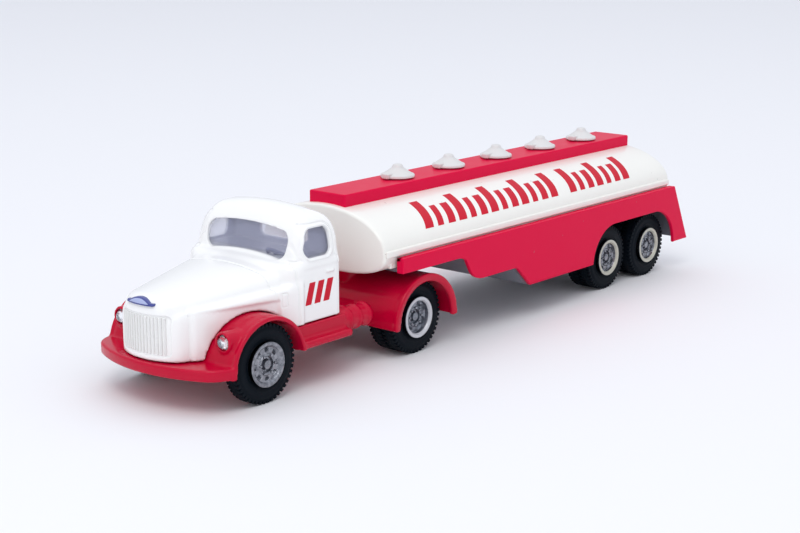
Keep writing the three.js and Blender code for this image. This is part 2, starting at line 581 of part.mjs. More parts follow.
// ---------------------------------------------------------------- trailer
/** Section of the tank across the vehicle, from the bottom round to the top. */
function tankOutline(inset) {
  const half = TANK_HALF_WIDTH - inset;
  const upper = Array.from({ length: 25 }, (_, i) => {
    const angle = (i * Math.PI) / 24;
    return [half * Math.cos(angle), TANK_Z + (TANK_CROWN - inset) * Math.sin(angle)];
  });
  const lower = Array.from({ length: 15 }, (_, i) => {
    const angle = Math.PI + ((i + 1) * Math.PI) / 16;
    const power = 2 / 3;
    const y = half * Math.sign(Math.cos(angle)) * Math.abs(Math.cos(angle)) ** power;
    return [y, TANK_Z - (TANK_BELLY - inset) * Math.abs(Math.sin(angle)) ** power];
  });
  return outline([...upper, ...lower]);
}

const TRAILER_RIVETS_X = [KINGPIN_X - 12, (TRAILER_AXLES_X[0] + TRAILER_AXLES_X[1]) / 2];
const RIB_Y = TANK_HALF_WIDTH + 0.6;
const LEDGE_Y = TANK_HALF_WIDTH - 0.6;
const BAY_TOP = AXLE_Z + TYRE_RADIUS + 1.5; // underside of the base plate over the wheels
const BAY_FRONT_X = TRAILER_AXLES_X[0] + TYRE_RADIUS + 3.1;
const BAY_REAR_X = TRAILER_AXLES_X[1] - TYRE_RADIUS - 3;

/** Side view of the base plate: a folded strip from the coupling back to the rear apron. */
function platePath() {
  const bend = SWING_X - PLATE_SET_BACK;
  return [
    [SKIRT_FRONT_X - SKIRT_RETURN - GAP, DECK_Z], [bend, DECK_Z], [bend - 8.2, STEP_Z + 0.3],
    [SWING_X - 28, STEP_Z + 0.3], [SWING_X - 34.6, SKIRT_LOW_Z + 0.3],
    [BAY_FRONT_X, SKIRT_LOW_Z + 0.3], [BAY_FRONT_X, BAY_TOP], [BAY_REAR_X, BAY_TOP],
    [BAY_REAR_X, AXLE_Z + 1],
  ];
}

function basePlate() {
  const half = SKIRT_INNER_Y - GAP;
  const path = platePath().reverse();
  const sheet = extrudeY(strip(path, PLATE), -half, half);
  const brackets = TRAILER_AXLES_X.flatMap((x) => (
    lugs(x, FRAME_HALF_WIDTH + FRAME_CLEARANCE / 2, BAY_TOP + 0.5)));
  const holes = [
    ...TRAILER_RIVETS_X.map((x) => cylinderZ(1.3, 0, 60, x, 0, 16)),
    cylinderZ(KINGPIN_RADIUS + GAP, 0, 60, KINGPIN_X, 0, 20),
    ...TRAILER_AXLES_X.map(axleBore),
  ];
  return cut(union(sheet, brackets), holes);
}

function tankShell() {
  const rear = TANK_REAR_X;
  const front = TANK_FRONT_X;
  const body = union(
    extrudeX(tankOutline(0), rear, front),
    box(rear + 0.6, front - 0.5, -RIB_Y, RIB_Y, SKIRT_TOP + GAP, SKIRT_TOP + GAP + 2),
    box(rear + 1, SKIRT_FRONT_X + 1.5, -LEDGE_Y, LEDGE_Y, LEDGE_Z, SKIRT_TOP + 1),
  );
  const hollow = extrudeX(tankOutline(WALL + 0.3), rear + WALL + 0.3, front - WALL - 0.3);
  const mouth = box(rear + 4, SKIRT_FRONT_X - 2, 3 - LEDGE_Y, LEDGE_Y - 3, 0, TANK_Z);
  const plateSpace = box(rear - 1, SKIRT_FRONT_X + GAP, -40, 40, 0, LEDGE_Z);
  const posts = TRAILER_RIVETS_X.map((x) => cylinderZ(2.2, LEDGE_Z, TANK_TOP - 0.5, x, 0, 20));
  const bores = TRAILER_RIVETS_X.map((x) => cylinderZ(1.3, 0, LEDGE_Z + 6, x, 0, 16));
  return cut(union(cut(body, hollow, mouth), posts), plateSpace, bores);
}

/** Side view of a skirt: two steps down behind the tractor, then an opening for both wheels. */
function skirtOutline() {
  const [first, second] = TRAILER_AXLES_X;
  const opening = TYRE_RADIUS + 1.9;
  const openingZ = AXLE_Z - 0.8;
  const footReach = Math.sqrt(opening ** 2 - (SKIRT_LOW_Z - openingZ) ** 2);
  const tail = TRAILER_AXLES_X[1] - REAR_OVERHANG;
  const footZ = AXLE_Z - 0.6;
  const shape = new THREE.Shape();
  shape.moveTo(SKIRT_FRONT_X, SKIRT_TOP);
  shape.lineTo(TANK_REAR_X, SKIRT_TOP);
  shape.lineTo(tail, footZ);
  shape.lineTo(second - opening - 0.4, footZ);
  shape.absarc(second, openingZ, opening, Math.PI, Math.PI / 2, true);
  shape.absarc(first, openingZ, opening, Math.PI / 2, Math.atan2(SKIRT_LOW_Z - openingZ, footReach), true);
  shape.lineTo(SWING_X - 35.6, SKIRT_LOW_Z);
  shape.lineTo(SWING_X - 29.5, STEP_Z - 0.8);
  shape.quadraticCurveTo(SWING_X - 28.8, STEP_Z, SWING_X - 27.6, STEP_Z);
  shape.lineTo(SWING_X - 11.5, STEP_Z);
  shape.quadraticCurveTo(SWING_X - 7.6, STEP_Z + 0.4, SWING_X - 6, STEP_Z + 3.2);
  shape.lineTo(SWING_X - 4, DECK_Z - 1);
  shape.quadraticCurveTo(SWING_X - 2.6, DECK_Z + 0.1, SWING_X, DECK_Z + 0.1);
  shape.lineTo(SKIRT_FRONT_X, DECK_Z + 0.1);
  return shape;
}

function skirt(side) {
  const sheet = extrudeY(skirtOutline(), ...span(side, SKIRT_INNER_Y, TRAILER_HALF_WIDTH), 10);
  const inner = span(side, TANK_HALF_WIDTH + GAP, SKIRT_INNER_Y + 0.2);
  const flange = box(TANK_REAR_X + 0.2, SKIRT_FRONT_X, ...inner, SKIRT_TOP - 1, SKIRT_TOP);
  const end = box(SKIRT_FRONT_X - SKIRT_RETURN, SKIRT_FRONT_X, ...inner, DECK_Z + 0.1, SKIRT_TOP);
  return union(sheet, flange, end);
}

const WALKWAY_FRONT_X = TANK_FRONT_X - 2.1;
const WALKWAY_REAR_X = TANK_REAR_X + 0.5;

function walkway() {
  const half = WALKWAY_HALF_WIDTH;
  const plank = box(WALKWAY_REAR_X, WALKWAY_FRONT_X, -half, half, TANK_Z, WALKWAY_TOP);
  const seat = extrudeX(tankOutline(-GAP), WALKWAY_REAR_X - 2, WALKWAY_FRONT_X + 2);
  return plank.subtract(seat);
}

function hatch(index) {
  const first = WALKWAY_FRONT_X - HATCH_FRONT_MARGIN;
  const last = WALKWAY_REAR_X + HATCH_REAR_MARGIN;
  const x = first + (index / (HATCH_COUNT - 1)) * (last - first);
  const h = HATCH_HEIGHT;
  const profile = [
    [0, 0], [HATCH_RADIUS, 0], [HATCH_RADIUS, 0.9], [HATCH_RADIUS - 0.5, 1.2], [2.4, h - 0.9],
    [1.9, h - 0.2], [1.5, h], [0, h],
  ];
  const dome = new THREE.LatheGeometry(profile.map(([r, z]) => new THREE.Vector2(r, z)), 18);
  const cap = solid(dome.rotateX(Math.PI / 2).translate(x, 0, WALKWAY_TOP + GAP));
  const lug = box(x + 2, x + HATCH_RADIUS + 0.2, -1, 1, WALKWAY_TOP + GAP, WALKWAY_TOP + GAP + 1.6);
  return cap.add(lug);
}

/** Kingpin: a round-ended pin riveted into the base plate. */
function kingpin() {
  const profile = [
    [0, BOSS_TOP - 6], [0.8, BOSS_TOP - 6], [KINGPIN_RADIUS, BOSS_TOP - 5.2],
    [KINGPIN_RADIUS, DECK_Z + PLATE + GAP], [KINGPIN_RADIUS + 1.2, DECK_Z + PLATE + GAP],
    [KINGPIN_RADIUS + 1.2, DECK_Z + PLATE + GAP + 0.8], [0, DECK_Z + PLATE + GAP + 0.8],
  ];
  const pin = new THREE.LatheGeometry(profile.map(([r, z]) => new THREE.Vector2(r, z)), 20);
  return pin.rotateX(Math.PI / 2).translate(KINGPIN_X, 0, 0);
}

// ---------------------------------------------------------------- wheels
/** Turned piece round a Y axle, from a profile of [radius, distance inwards from the outer face]. */
function turned(profile, side, x, sides) {
  const points = profile.map(([r, depth]) => new THREE.Vector2(r, WHEEL_FACE_Y - depth));
  const geometry = new THREE.LatheGeometry(points, sides);
  if (side < 0) geometry.rotateZ(Math.PI);
  return geometry.translate(x, 0, AXLE_Z);
}

/** One tyre; row 0 is the outer one. */
function tyre(x, side, row) {
  const start = HUB_LIP + GAP + row * (TYRE_WIDTH + DUAL_GAP);
  const end = start + TYRE_WIDTH;
  const r = TYRE_RADIUS;
  return turned([
    [BEAD_RADIUS, end - 0.2], [r - 0.9, end], [r, end - 0.6], [r, start + 0.6], [r - 0.9, start],
    [BEAD_RADIUS, start + 0.2], [BEAD_RADIUS, end - 0.2],
  ], side, x, TYRE_SIDES);
}

/** Hub for one or two tyres: lips on both faces, a dished disc and a bore for the axle. */
function hub(x, side, rows) {
  const width = hubWidth(rows);
  const barrel = BEAD_RADIUS - GAP;
  const bore = AXLE_RADIUS + GAP;
  return turned([
    [0, width * 0.3], [bore, width * 0.3], [bore, width], [HUB_LIP_RADIUS, width],
    [HUB_LIP_RADIUS, width - 0.5], [barrel, width - 0.5], [barrel, HUB_LIP], [HUB_LIP_RADIUS, HUB_LIP],
    [HUB_LIP_RADIUS, 0], [4.9, 0], [4.4, 1], [1.6, 1], [1.4, 0.3], [0, 0.3],
  ], side, x, HUB_SIDES);
}

function axleRod(x, rows) {
  const width = hubWidth(rows);
  const end = WHEEL_FACE_Y - width * 0.3 - GAP;
  const rod = new THREE.CylinderGeometry(AXLE_RADIUS, AXLE_RADIUS, end * 2, 16);
  return rod.translate(x, 0, AXLE_Z);
}

// ---------------------------------------------------------------- assembly
const vehicle = new THREE.Group();

function add(parent, name, shape, material) {
  const geometry = shape.isBufferGeometry ? shape : geometryOf(shape);
  const mesh = new THREE.Mesh(geometry, material);
  mesh.name = name;
  parent.add(mesh);
}

/** One axle with its hubs and tyres. */
function addAxle(parent, label, x, rows) {
  const axle = new THREE.Group();
  add(axle, `${label}_axle`, axleRod(x, rows), STEEL);
  for (const [side, word] of [[1, 'left'], [-1, 'right']]) {
    add(axle, `${label}_hub_${word}`, hub(x, side, rows), CHROME);
    for (let row = 0; row < rows; row += 1) {
      const place = rows > 1 ? `_${['outer', 'inner'][row]}` : '';
      add(axle, `${label}_tyre_${word}${place}`, tyre(x, side, row), RUBBER);
    }
  }
  parent.add(axle);
}

const tractor = new THREE.Group();
add(tractor, 'tractor_chassis', tractorChassis(), RED);
add(tractor, 'cab_shell', cabShell(), WHITE);
add(tractor, 'cab_glazing', cabGlazing(), CLEAR);
add(tractor, 'cab_interior', cabInterior(), GREY);
add(tractor, 'steering_wheel', steeringWheel(), NAVY);
add(tractor, 'headlight_left', jewel(1), CLEAR);
add(tractor, 'headlight_right', jewel(-1), CLEAR);
add(tractor, 'bonnet_badge', badge(), BLUE);
add(tractor, 'cab_rivet_front', rivet(CAB_RIVETS_X[0], BUMPER_Z - GAP, BUMPER_TOP + 6), STEEL);
add(tractor, 'cab_rivet_rear', rivet(CAB_RIVETS_X[1], AXLE_Z + 3.1 - GAP, CAB_Z + 5), STEEL);
addAxle(tractor, 'front', FRONT_AXLE_X, 1);
addAxle(tractor, 'drive', REAR_AXLE_X, 2);

const trailer = new THREE.Group();
add(trailer, 'tank_shell', tankShell(), CREAM);
add(trailer, 'walkway', walkway(), RED);
for (let i = 0; i < HATCH_COUNT; i += 1) {
  add(trailer, `hatch_${i + 1}`, hatch(i), WHITE);
}
add(trailer, 'skirt_left', skirt(1), RED);
add(trailer, 'skirt_right', skirt(-1), RED);
add(trailer, 'base_plate', basePlate(), DARK_GREY);
add(trailer, 'kingpin', kingpin(), STEEL);
add(trailer, 'trailer_rivet_front', rivet(TRAILER_RIVETS_X[0], DECK_Z - GAP, LEDGE_Z + 5), STEEL);
add(trailer, 'trailer_rivet_rear', rivet(TRAILER_RIVETS_X[1], BAY_TOP - GAP, LEDGE_Z + 5), STEEL);
addAxle(trailer, 'trailer_front', TRAILER_AXLES_X[0], 2);
addAxle(trailer, 'trailer_rear', TRAILER_AXLES_X[1], 2);

vehicle.add(tractor, trailer);
export default vehicle;
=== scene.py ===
"""A die-cast toy tanker: a bonneted tractor and the two-axle tank semi-trailer that it draws.

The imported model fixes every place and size. This script gives each piece its visible form and its
finish. Shapes are worked out in millimetres and stored in metres.
"""

import json
import logging
import math
from dataclasses import dataclass, field
from enum import Enum
from typing import Callable, Iterable, Sequence

import bmesh
import bpy
import numpy as np
from mathutils import Matrix, Vector

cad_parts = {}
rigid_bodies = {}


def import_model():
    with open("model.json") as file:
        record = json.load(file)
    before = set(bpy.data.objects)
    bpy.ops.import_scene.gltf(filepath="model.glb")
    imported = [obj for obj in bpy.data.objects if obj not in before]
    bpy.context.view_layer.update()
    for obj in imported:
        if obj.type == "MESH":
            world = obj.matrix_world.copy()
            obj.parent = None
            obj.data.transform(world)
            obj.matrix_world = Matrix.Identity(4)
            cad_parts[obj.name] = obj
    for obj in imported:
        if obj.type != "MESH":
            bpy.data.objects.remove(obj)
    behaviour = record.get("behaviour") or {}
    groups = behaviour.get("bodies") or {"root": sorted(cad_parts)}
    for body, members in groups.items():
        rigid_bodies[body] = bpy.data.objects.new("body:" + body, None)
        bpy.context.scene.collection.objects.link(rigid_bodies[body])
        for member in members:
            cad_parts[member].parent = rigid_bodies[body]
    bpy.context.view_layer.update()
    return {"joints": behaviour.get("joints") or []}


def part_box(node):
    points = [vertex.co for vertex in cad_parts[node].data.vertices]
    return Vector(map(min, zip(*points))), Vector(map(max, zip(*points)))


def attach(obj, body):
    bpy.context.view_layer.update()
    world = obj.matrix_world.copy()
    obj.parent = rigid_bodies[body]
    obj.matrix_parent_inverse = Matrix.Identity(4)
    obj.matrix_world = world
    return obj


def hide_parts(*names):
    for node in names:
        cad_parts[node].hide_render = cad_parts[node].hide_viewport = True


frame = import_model()

MM = 0.001
COARSE = 1.0
SMOOTH_ANGLE = math.radians(38)
FLAT_ANGLE = math.radians(10)  # keeps large flat faces flat beside their rounded edges
log = logging.getLogger("tanker")

FRONT_ARCH = (88.8, 9.6)  # middle of the front wheel opening, X and Z
CAB_RIVETS = (102.8, 63.1)  # X of the front and rear rivet that hold the cab

Colour = tuple[float, float, float]
Pair = tuple[float, float]
Place = Sequence[float]
Points = np.ndarray
Field = Callable[[Points], np.ndarray]
Mesh = bpy.types.Mesh
Socket = bpy.types.NodeSocket


def fill(node: bpy.types.Node, values: dict[str | int, object]) -> None:
    """Gives a node's inputs their own values."""
    for key, value in values.items():
        node.inputs[key].default_value = value


class Side(Enum):
    """A side of the vehicle; the value is the sign of Y there."""

    LEFT = 1
    RIGHT = -1

    @property
    def word(self) -> str:
        """The side's name as the nodes spell it."""
        return self.name.lower()


class Axis(Enum):
    """A direction of the frame; the value is its column."""

    X = 0
    Y = 1
    Z = 2


def node_box(name: str) -> tuple[np.ndarray, np.ndarray]:
    """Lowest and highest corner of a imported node, in millimetres."""
    low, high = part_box(name)
    return np.array(low) / MM, np.array(high) / MM


def joint_place(name: str) -> np.ndarray:
    """Place of a joint's axis, in millimetres."""
    found = next(joint for joint in frame["joints"] if joint["name"] == name)
    return np.array(found["pos_m"]) / MM


# ---- distance fields
def soft_union(a: np.ndarray, b: np.ndarray, blend: float) -> np.ndarray:
    """Joins two fields with a fillet.

    Args:
        a: Distances of the first form.
        b: Distances of the second form.
        blend: Width over which the two flow together.

    Returns:
        Distances of the joined form.
    """
    share = np.clip(0.5 + 0.5 * (b - a) / blend, 0, 1)
    return b + (a - b) * share - blend * share * (1 - share)


def soft_meet(a: np.ndarray, b: np.ndarray, blend: float) -> np.ndarray:
    """What two forms have in common, with a rounded edge between them."""
    return -soft_union(-a, -b, blend)


def soft_cut(a: np.ndarray, b: np.ndarray, blend: float) -> np.ndarray:
    """The first form without the second, with a rounded edge between them."""
    return -soft_union(-a, b, blend)


def block(p: Points, low: Place, high: Place, radius: float = 0.2) -> np.ndarray:
    """Distances to a box with round edges.

    Args:
        p: Points, one a row.
        low: The box's lowest corner.
        high: The box's highest corner.
        radius: Radius of every edge.

    Returns:
        One distance for each point, negative inside.
    """
    low, high = np.array(low, float), np.array(high, float)
    q = np.abs(p - (low + high) / 2) - (high - low) / 2 + radius
    return np.linalg.norm(np.maximum(q, 0), axis=1) + np.minimum(q.max(1), 0) - radius


def rod(p: Points, axis: Axis, centre: Place, radius: float, ends: Pair,
        rounding: float = 0.2) -> np.ndarray:
    """Distances to a round bar.

    Args:
        p: Points, one a row.
        axis: Direction of the bar.
        centre: A point on the bar's line.
        radius: The bar's radius.
        ends: Where the bar starts and stops along its direction.
        rounding: Radius of the edge at each end.

    Returns:
        One distance for each point, negative inside.
    """
    u, v = [column for column in range(3) if column != axis.value]
    reach = np.hypot(p[:, u] - centre[u], p[:, v] - centre[v]) - radius + rounding
    along = np.abs(p[:, axis.value] - sum(ends) / 2) - abs(ends[1] - ends[0]) / 2 + rounding
    outside = np.hypot(np.maximum(reach, 0), np.maximum(along, 0))
    return outside + np.minimum(np.maximum(reach, along), 0) - rounding


def groove(base: np.ndarray, line: np.ndarray, radius: float) -> np.ndarray:
    """Cuts a round-bottomed groove along a line drawn on a form's skin.

    Args:
        base: Distances of the form.
        line: Distances to the line.
        radius: Radius of the groove.

    Returns:
        Distances of the grooved form.
    """
    return soft_cut(base, np.hypot(line, base) - radius, 0.12)


def bead(base: np.ndarray, line: np.ndarray, radius: float) -> np.ndarray:
    """Raises a round bead along a line drawn on a form's skin."""
    return soft_union(base, np.hypot(line, base) - radius, 0.15)


# ---- skins of fields
EDGES_OF_CELL = [
    ((0, 0, 0), (1, 0, 0)), ((0, 1, 0), (1, 1, 0)), ((0, 0, 1), (1, 0, 1)), ((0, 1, 1), (1, 1, 1)),
    ((0, 0, 0), (0, 1, 0)), ((1, 0, 0), (1, 1, 0)), ((0, 0, 1), (0, 1, 1)), ((1, 0, 1), (1, 1, 1)),
    ((0, 0, 0), (0, 0, 1)), ((1, 0, 0), (1, 0, 1)), ((0, 1, 0), (0, 1, 1)), ((1, 1, 0), (1, 1, 1)),
]


@dataclass
class Skin:
    """Finds the surface of a distance field as a mesh of small, even faces.

    Attributes:
        shape: The field.
        low: Lowest corner of the space to search.
        high: Highest corner of that space.
        cell: Size of a face.
        fine: Distances to the fine detail, where faces are split; None for no detail.
        fine_reach: How far from the detail the splitting goes.
        stride: Cells along a block of the rough first search.
    """

    shape: Field
    low: Place
    high: Place
    cell: float
    fine: Field | None = None
    fine_reach: float = 0.5
    stride: int = 4

    def sample(self) -> tuple[np.ndarray, np.ndarray]:
        """Values of the field on a grid, exact only near the surface, and the grid's corner.

        Returns:
            The values and the corner.
        """
        cell, stride = self.cell, self.stride
        low = np.array(self.low, float) - 2 * cell
        blocks = np.ceil((np.array(self.high, float) + 2 * cell - low) / (cell * stride)).astype(int)
        centres = [low[i] + cell * stride * (np.arange(blocks[i]) + 0.5) for i in range(3)]
        grid = np.stack(np.meshgrid(*centres, indexing="ij"), -1).reshape(-1, 3)
        middle = self.shape(grid).reshape(blocks)
        wide = self.spread(middle)
        near = self.spread(np.abs(middle) < 1.5 * cell * stride)
        for axis in range(3):
            shifted = np.moveaxis(near, axis, 0)
            shifted[1:] |= shifted[:-1].copy()
        values = np.where(wide < 0, -9.0, 9.0)
        spots = np.argwhere(near)
        chunk = 300000
        found = [self.shape(low + cell * spots[i:i + chunk]) for i in range(0, len(spots), chunk)]
        values[tuple(spots.T)] = np.concatenate(found)
        return values, low

    def spread(self, blocks: np.ndarray) -> np.ndarray:
        """One value a grid point from one value a block.

        Args:
            blocks: The blocks' values.

        Returns:
            The grid points' values.
        """
        for axis in range(3):
            blocks = blocks.repeat(self.stride, axis)
        return np.pad(blocks, ((0, 1),) * 3, mode="edge")

    def net(self) -> tuple[Points, np.ndarray]:
        """Points on the surface and the four-sided faces between them.

        Returns:
            The points, and four point numbers for each face.
        """
        values, low = self.sample()
        inside = values < 0
        size = tuple(n - 1 for n in values.shape)
        count = np.zeros(size, np.int8)
        for i, j, k in np.ndindex(2, 2, 2):
            count += inside[i:i + size[0], j:j + size[1], k:k + size[2]]
        cells = np.argwhere((count > 0) & (count < 8))
        index = np.full(size, -1, np.int32)
        index[tuple(cells.T)] = np.arange(len(cells))
        total = np.zeros((len(cells), 3))
        hits = np.zeros(len(cells))
        for a, b in EDGES_OF_CELL:
            start, end = values[tuple((cells + a).T)], values[tuple((cells + b).T)]
            cross = (start < 0) != (end < 0)
            share = np.where(cross, start / np.where(cross, start - end, 1), 0)
            step = np.array(a) + share[:, None] * (np.array(b) - np.array(a))
            total += cross[:, None] * step
            hits += cross
        points = low + self.cell * (cells + total / hits[:, None])
        faces = [self.faces_along(axis, inside, index, size) for axis in range(3)]
        return points, np.concatenate(faces)

    @staticmethod
    def faces_along(axis: int, inside: np.ndarray, index: np.ndarray, size: tuple) -> np.ndarray:
        """Faces across the grid's edges of one direction, turned outwards.

        Args:
            axis: The direction's number.
            inside: Whether each grid point is inside.
            index: Number of each cell's point.
            size: Cells along each direction.

        Returns:
            The faces.
        """
        moved = np.moveaxis(inside, axis, 0)
        change = np.moveaxis(moved[:-1] != moved[1:], 0, axis)
        spots = np.argwhere(change)
        u, v = (axis + 1) % 3, (axis + 2) % 3
        keep = (spots[:, u] > 0) & (spots[:, v] > 0) & (spots[:, u] < size[u]) & (spots[:, v] < size[v])
        spots = spots[keep]
        step_u, step_v = np.eye(3, dtype=int)[u], np.eye(3, dtype=int)[v]
        corners = [spots, spots - step_u, spots - step_u - step_v, spots - step_v]
        quads = np.stack([index[tuple(c.T)] for c in corners], 1)
        solid_first = inside[tuple(spots.T)]
        return np.where(solid_first[:, None], quads, quads[:, ::-1])

    def settle(self, points: Points, rounds: int) -> Points:
        """Moves points onto the surface along the field's slope.

        Args:
            points: The points.
            rounds: How many steps they take.

        Returns:
            The moved points.
        """
        step = 0.03
        for _ in range(rounds):
            value = self.shape(points)
            slope = np.stack([
                self.shape(points + d) - self.shape(points - d) for d in np.eye(3) * step
            ], 1) / (2 * step)
            move = value / np.maximum((slope ** 2).sum(1), 0.3)
            points = points - np.clip(move, -self.cell / 2, self.cell / 2)[:, None] * slope
        return points

    @staticmethod
    def relax(points: Points, faces: np.ndarray, share: float = 0.6) -> Points:
        """Evens out the faces by drawing each point towards its neighbours.

        Args:
            points: The points.
            faces: The faces between them.
            share: How far each goes to its neighbours' middle.

        Returns:
            The moved points.
        """
        a = np.concatenate([faces[:, k] for k in range(4)])
        b = np.concatenate([faces[:, (k + 1) % 4] for k in range(4)])
        ends, others = np.concatenate([a, b]), np.concatenate([b, a])
        count = np.maximum(np.bincount(ends, minlength=len(points)), 1)
        mean = np.stack([
            np.bincount(ends, points[others, k], len(points)) / count for k in range(3)
        ], 1)
        return points + share * (mean - points)

    def mesh(self, name: str) -> Mesh:
        """The finished mesh, in metres.

        Args:
            name: Name of the mesh.

        Returns:
            A closed mesh, smooth shaded, with its faces outwards.
        """
        points, faces = self.net()
        for _ in range(2):
            points = self.settle(self.relax(points, faces), 1)
        points = self.settle(points, 2)
        mesh = bpy.data.meshes.new(name)
        mesh.from_pydata(points.tolist(), [], faces.tolist())
        if self.fine is not None:
            self.split(mesh)
        mesh.transform(Matrix.Scale(MM, 4))
        mesh.shade_smooth()
        return mesh

    def split(self, mesh: Mesh) -> None:
        """Splits the faces near the fine detail and settles them again.

        Args:
            mesh: The mesh, in millimetres.
        """
        near = self.fine(vertices_of(mesh)) < self.fine_reach
        body = bmesh.new()
        body.from_mesh(mesh)
        edges = [e for e in body.edges if near[e.verts[0].index] and near[e.verts[1].index]]
        bmesh.ops.subdivide_edges(body, edges=edges, cuts=1, use_grid_fill=True)
        body.to_mesh(mesh)
        body.free()
        points = vertices_of(mesh)
        near = self.fine(points) < self.fine_reach * 1.5
        points[near] = self.settle(points[near], 4)
        mesh.vertices.foreach_set("co", points.astype(np.float32).ravel())
        mesh.update()


def vertices_of(mesh: Mesh) -> Points:
    """A mesh's points, one a row.

    Args:
        mesh: The mesh.

    Returns:
        Its points.
    """
    points = np.zeros(len(mesh.vertices) * 3, np.float32)
    mesh.vertices.foreach_get("co", points)
    return points.reshape(-1, 3).astype(float)


# ---- plain meshes
def piece(name: str, mesh: Mesh, material: bpy.types.Material) -> bpy.types.Object:
    """A new object in the scene, at the origin, with one material.

    Args:
        name: The object's name.
        mesh: Its mesh.
        material: Its material.

    Returns:
        The object.
    """
    made = bpy.data.objects.new(name, mesh)
    bpy.context.scene.collection.objects.link(made)
    mesh.materials.clear()
    mesh.materials.append(material)
    return made


def mesh_of(name: str, points: Iterable[Place], faces: Iterable[Sequence[int]],
            smooth: bool = True) -> Mesh:
    """A mesh from points in millimetres, with its faces turned outwards.

    Args:
        name: Name of the mesh.
        points: Its points.
        faces: The faces as lists of point numbers.
        smooth: Whether it is shaded smooth between sharp edges.

    Returns:
        The mesh, in metres.
    """
    mesh = bpy.data.meshes.new(name)
    mesh.from_pydata([tuple(np.array(p, float) * MM) for p in points], [], [list(f) for f in faces])
    body = bmesh.new()
    body.from_mesh(mesh)
    bmesh.ops.remove_doubles(body, verts=body.verts, dist=1e-7)
    bmesh.ops.recalc_face_normals(body, faces=body.faces)
    body.to_mesh(mesh)
    body.free()
    if smooth:
        mesh.shade_smooth()
        mesh.set_sharp_from_angle(angle=SMOOTH_ANGLE)
    return mesh


def loft(name: str, rings: Sequence[Points]) -> Mesh:
    """A closed form through matching rings, with a flat face at each end.

    Args:
        name: Name of the mesh.
        rings: The rings, each with as many points.

    Returns:
        The mesh.
    """
    count = len(rings[0])
    faces = [
        (row * count + i, row * count + (i + 1) % count, (row + 1) * count + (i + 1) % count,
         (row + 1) * count + i)
        for row in range(len(rings) - 1) for i in range(count)
    ]
    last = (len(rings) - 1) * count
    faces += [range(count), range(last, last + count)]
    return mesh_of(name, np.concatenate(rings), faces)


def turned(name: str, profile: Sequence[Pair], sides: int,
           relief: Callable[[float, float, int], float] | None = None) -> Mesh:
    """A form turned round the Y axis.

    Args:
        name: Name of the mesh.
        profile: Radius and place along Y, from the axis round to the axis, or a closed loop.
        sides: Number of faces round the form.
        relief: Extra place along Y, from the radius, the angle and the profile's point number.

    Returns:
        The mesh, centred on the origin.
    """
    closed = profile[0][0] > 0
    points, faces = [], []
    for number, (radius, along) in enumerate(profile):
        for i in range(sides):
            angle = math.tau * i / sides
            raised = relief(radius, angle, number) if relief else 0
            points.append((radius * math.cos(angle), along + raised, radius * math.sin(angle)))
    rows = len(profile) if closed else len(profile) - 1
    for row in range(rows):
        after = (row + 1) % len(profile)
        for i in range(sides):
            j = (i + 1) % sides
            quad = [row * sides + i, row * sides + j, after * sides + j, after * sides + i]
            faces.append(quad)
    if not closed:
        points, faces = close_poles(points, faces, profile, sides)
    return mesh_of(name, points, faces)


def close_poles(points: list, faces: list, profile: Sequence[Pair],
                sides: int) -> tuple[list, list]:
    """Draws a turned form's first and last rings together into points.

    Args:
        points: The form's points, changed in place.
        faces: Its faces.
        profile: The profile that was turned.
        sides: Faces round the form.

    Returns:
        The points and the faces.
    """
    for row in (0, len(profile) - 1):
        for i in range(sides):
            points[row * sides + i] = (0.0, points[row * sides + i][1], 0.0)
    first, last = range(sides), range((len(profile) - 1) * sides, len(profile) * sides)
    merge = {i: 0 for i in first} | {i: last[0] for i in last}
    tidy = []
    for quad in faces:
        corners = []
        for corner in (merge.get(c, c) for c in quad):
            if corner not in corners:
                corners.append(corner)
        tidy.append(corners)
    return points, tidy


def slab(name: str, outline: Sequence[Pair], axis: Axis,
         ends: Pair) -> Mesh:
    """A flat outline drawn out along one direction.

    Args:
        name: Name of the mesh.
        outline: Points in the plane of the two other directions, in X, Y, Z order.
        axis: The direction.
        ends: Where the form starts and stops along it.

    Returns:
        The mesh.
    """
    rings = []
    for end in ends:
        ring = np.insert(np.array(outline, float), axis.value, end, axis=1)
        rings.append(ring)
    return loft(name, rings)


def brick(low: Place, high: Place) -> Mesh:
    """A plain box, to be rounded or joined into another form."""
    (x0, y0, z0), (x1, y1, z1) = low, high
    return slab("brick", [(x0, y0), (x1, y0), (x1, y1), (x0, y1)], Axis.Z, (z0, z1))


def joined(name: str, meshes: Sequence[Mesh]) -> Mesh:
    """Several meshes as one.

    Args:
        name: Name of the new mesh.
        meshes: The meshes.

    Returns:
        The new mesh.
    """
    body = bmesh.new()
    for mesh in meshes:
        body.from_mesh(mesh)
    whole = bpy.data.meshes.new(name)
    body.to_mesh(whole)
    body.free()
    return whole


def with_modifier(mesh: Mesh, kind: str, **settings: object) -> Mesh:
    """A mesh as one modifier leaves it.

    Args:
        mesh: The mesh to start from.
        kind: The modifier's type.
        **settings: The modifier's settings.

    Returns:
        A new mesh.
    """
    holder = bpy.data.objects.new("holder", mesh)
    bpy.context.scene.collection.objects.link(holder)
    modifier = holder.modifiers.new("step", kind)
    for key, value in settings.items():
        setattr(modifier, key, value)
    made = evaluated(holder)
    bpy.data.objects.remove(holder)
    return made


def evaluated(holder: bpy.types.Object) -> Mesh:
    """The plain mesh that an object's modifiers give."""
    bpy.context.view_layer.update()
    graph = bpy.context.evaluated_depsgraph_get()
    return bpy.data.meshes.new_from_object(holder.evaluated_get(graph))


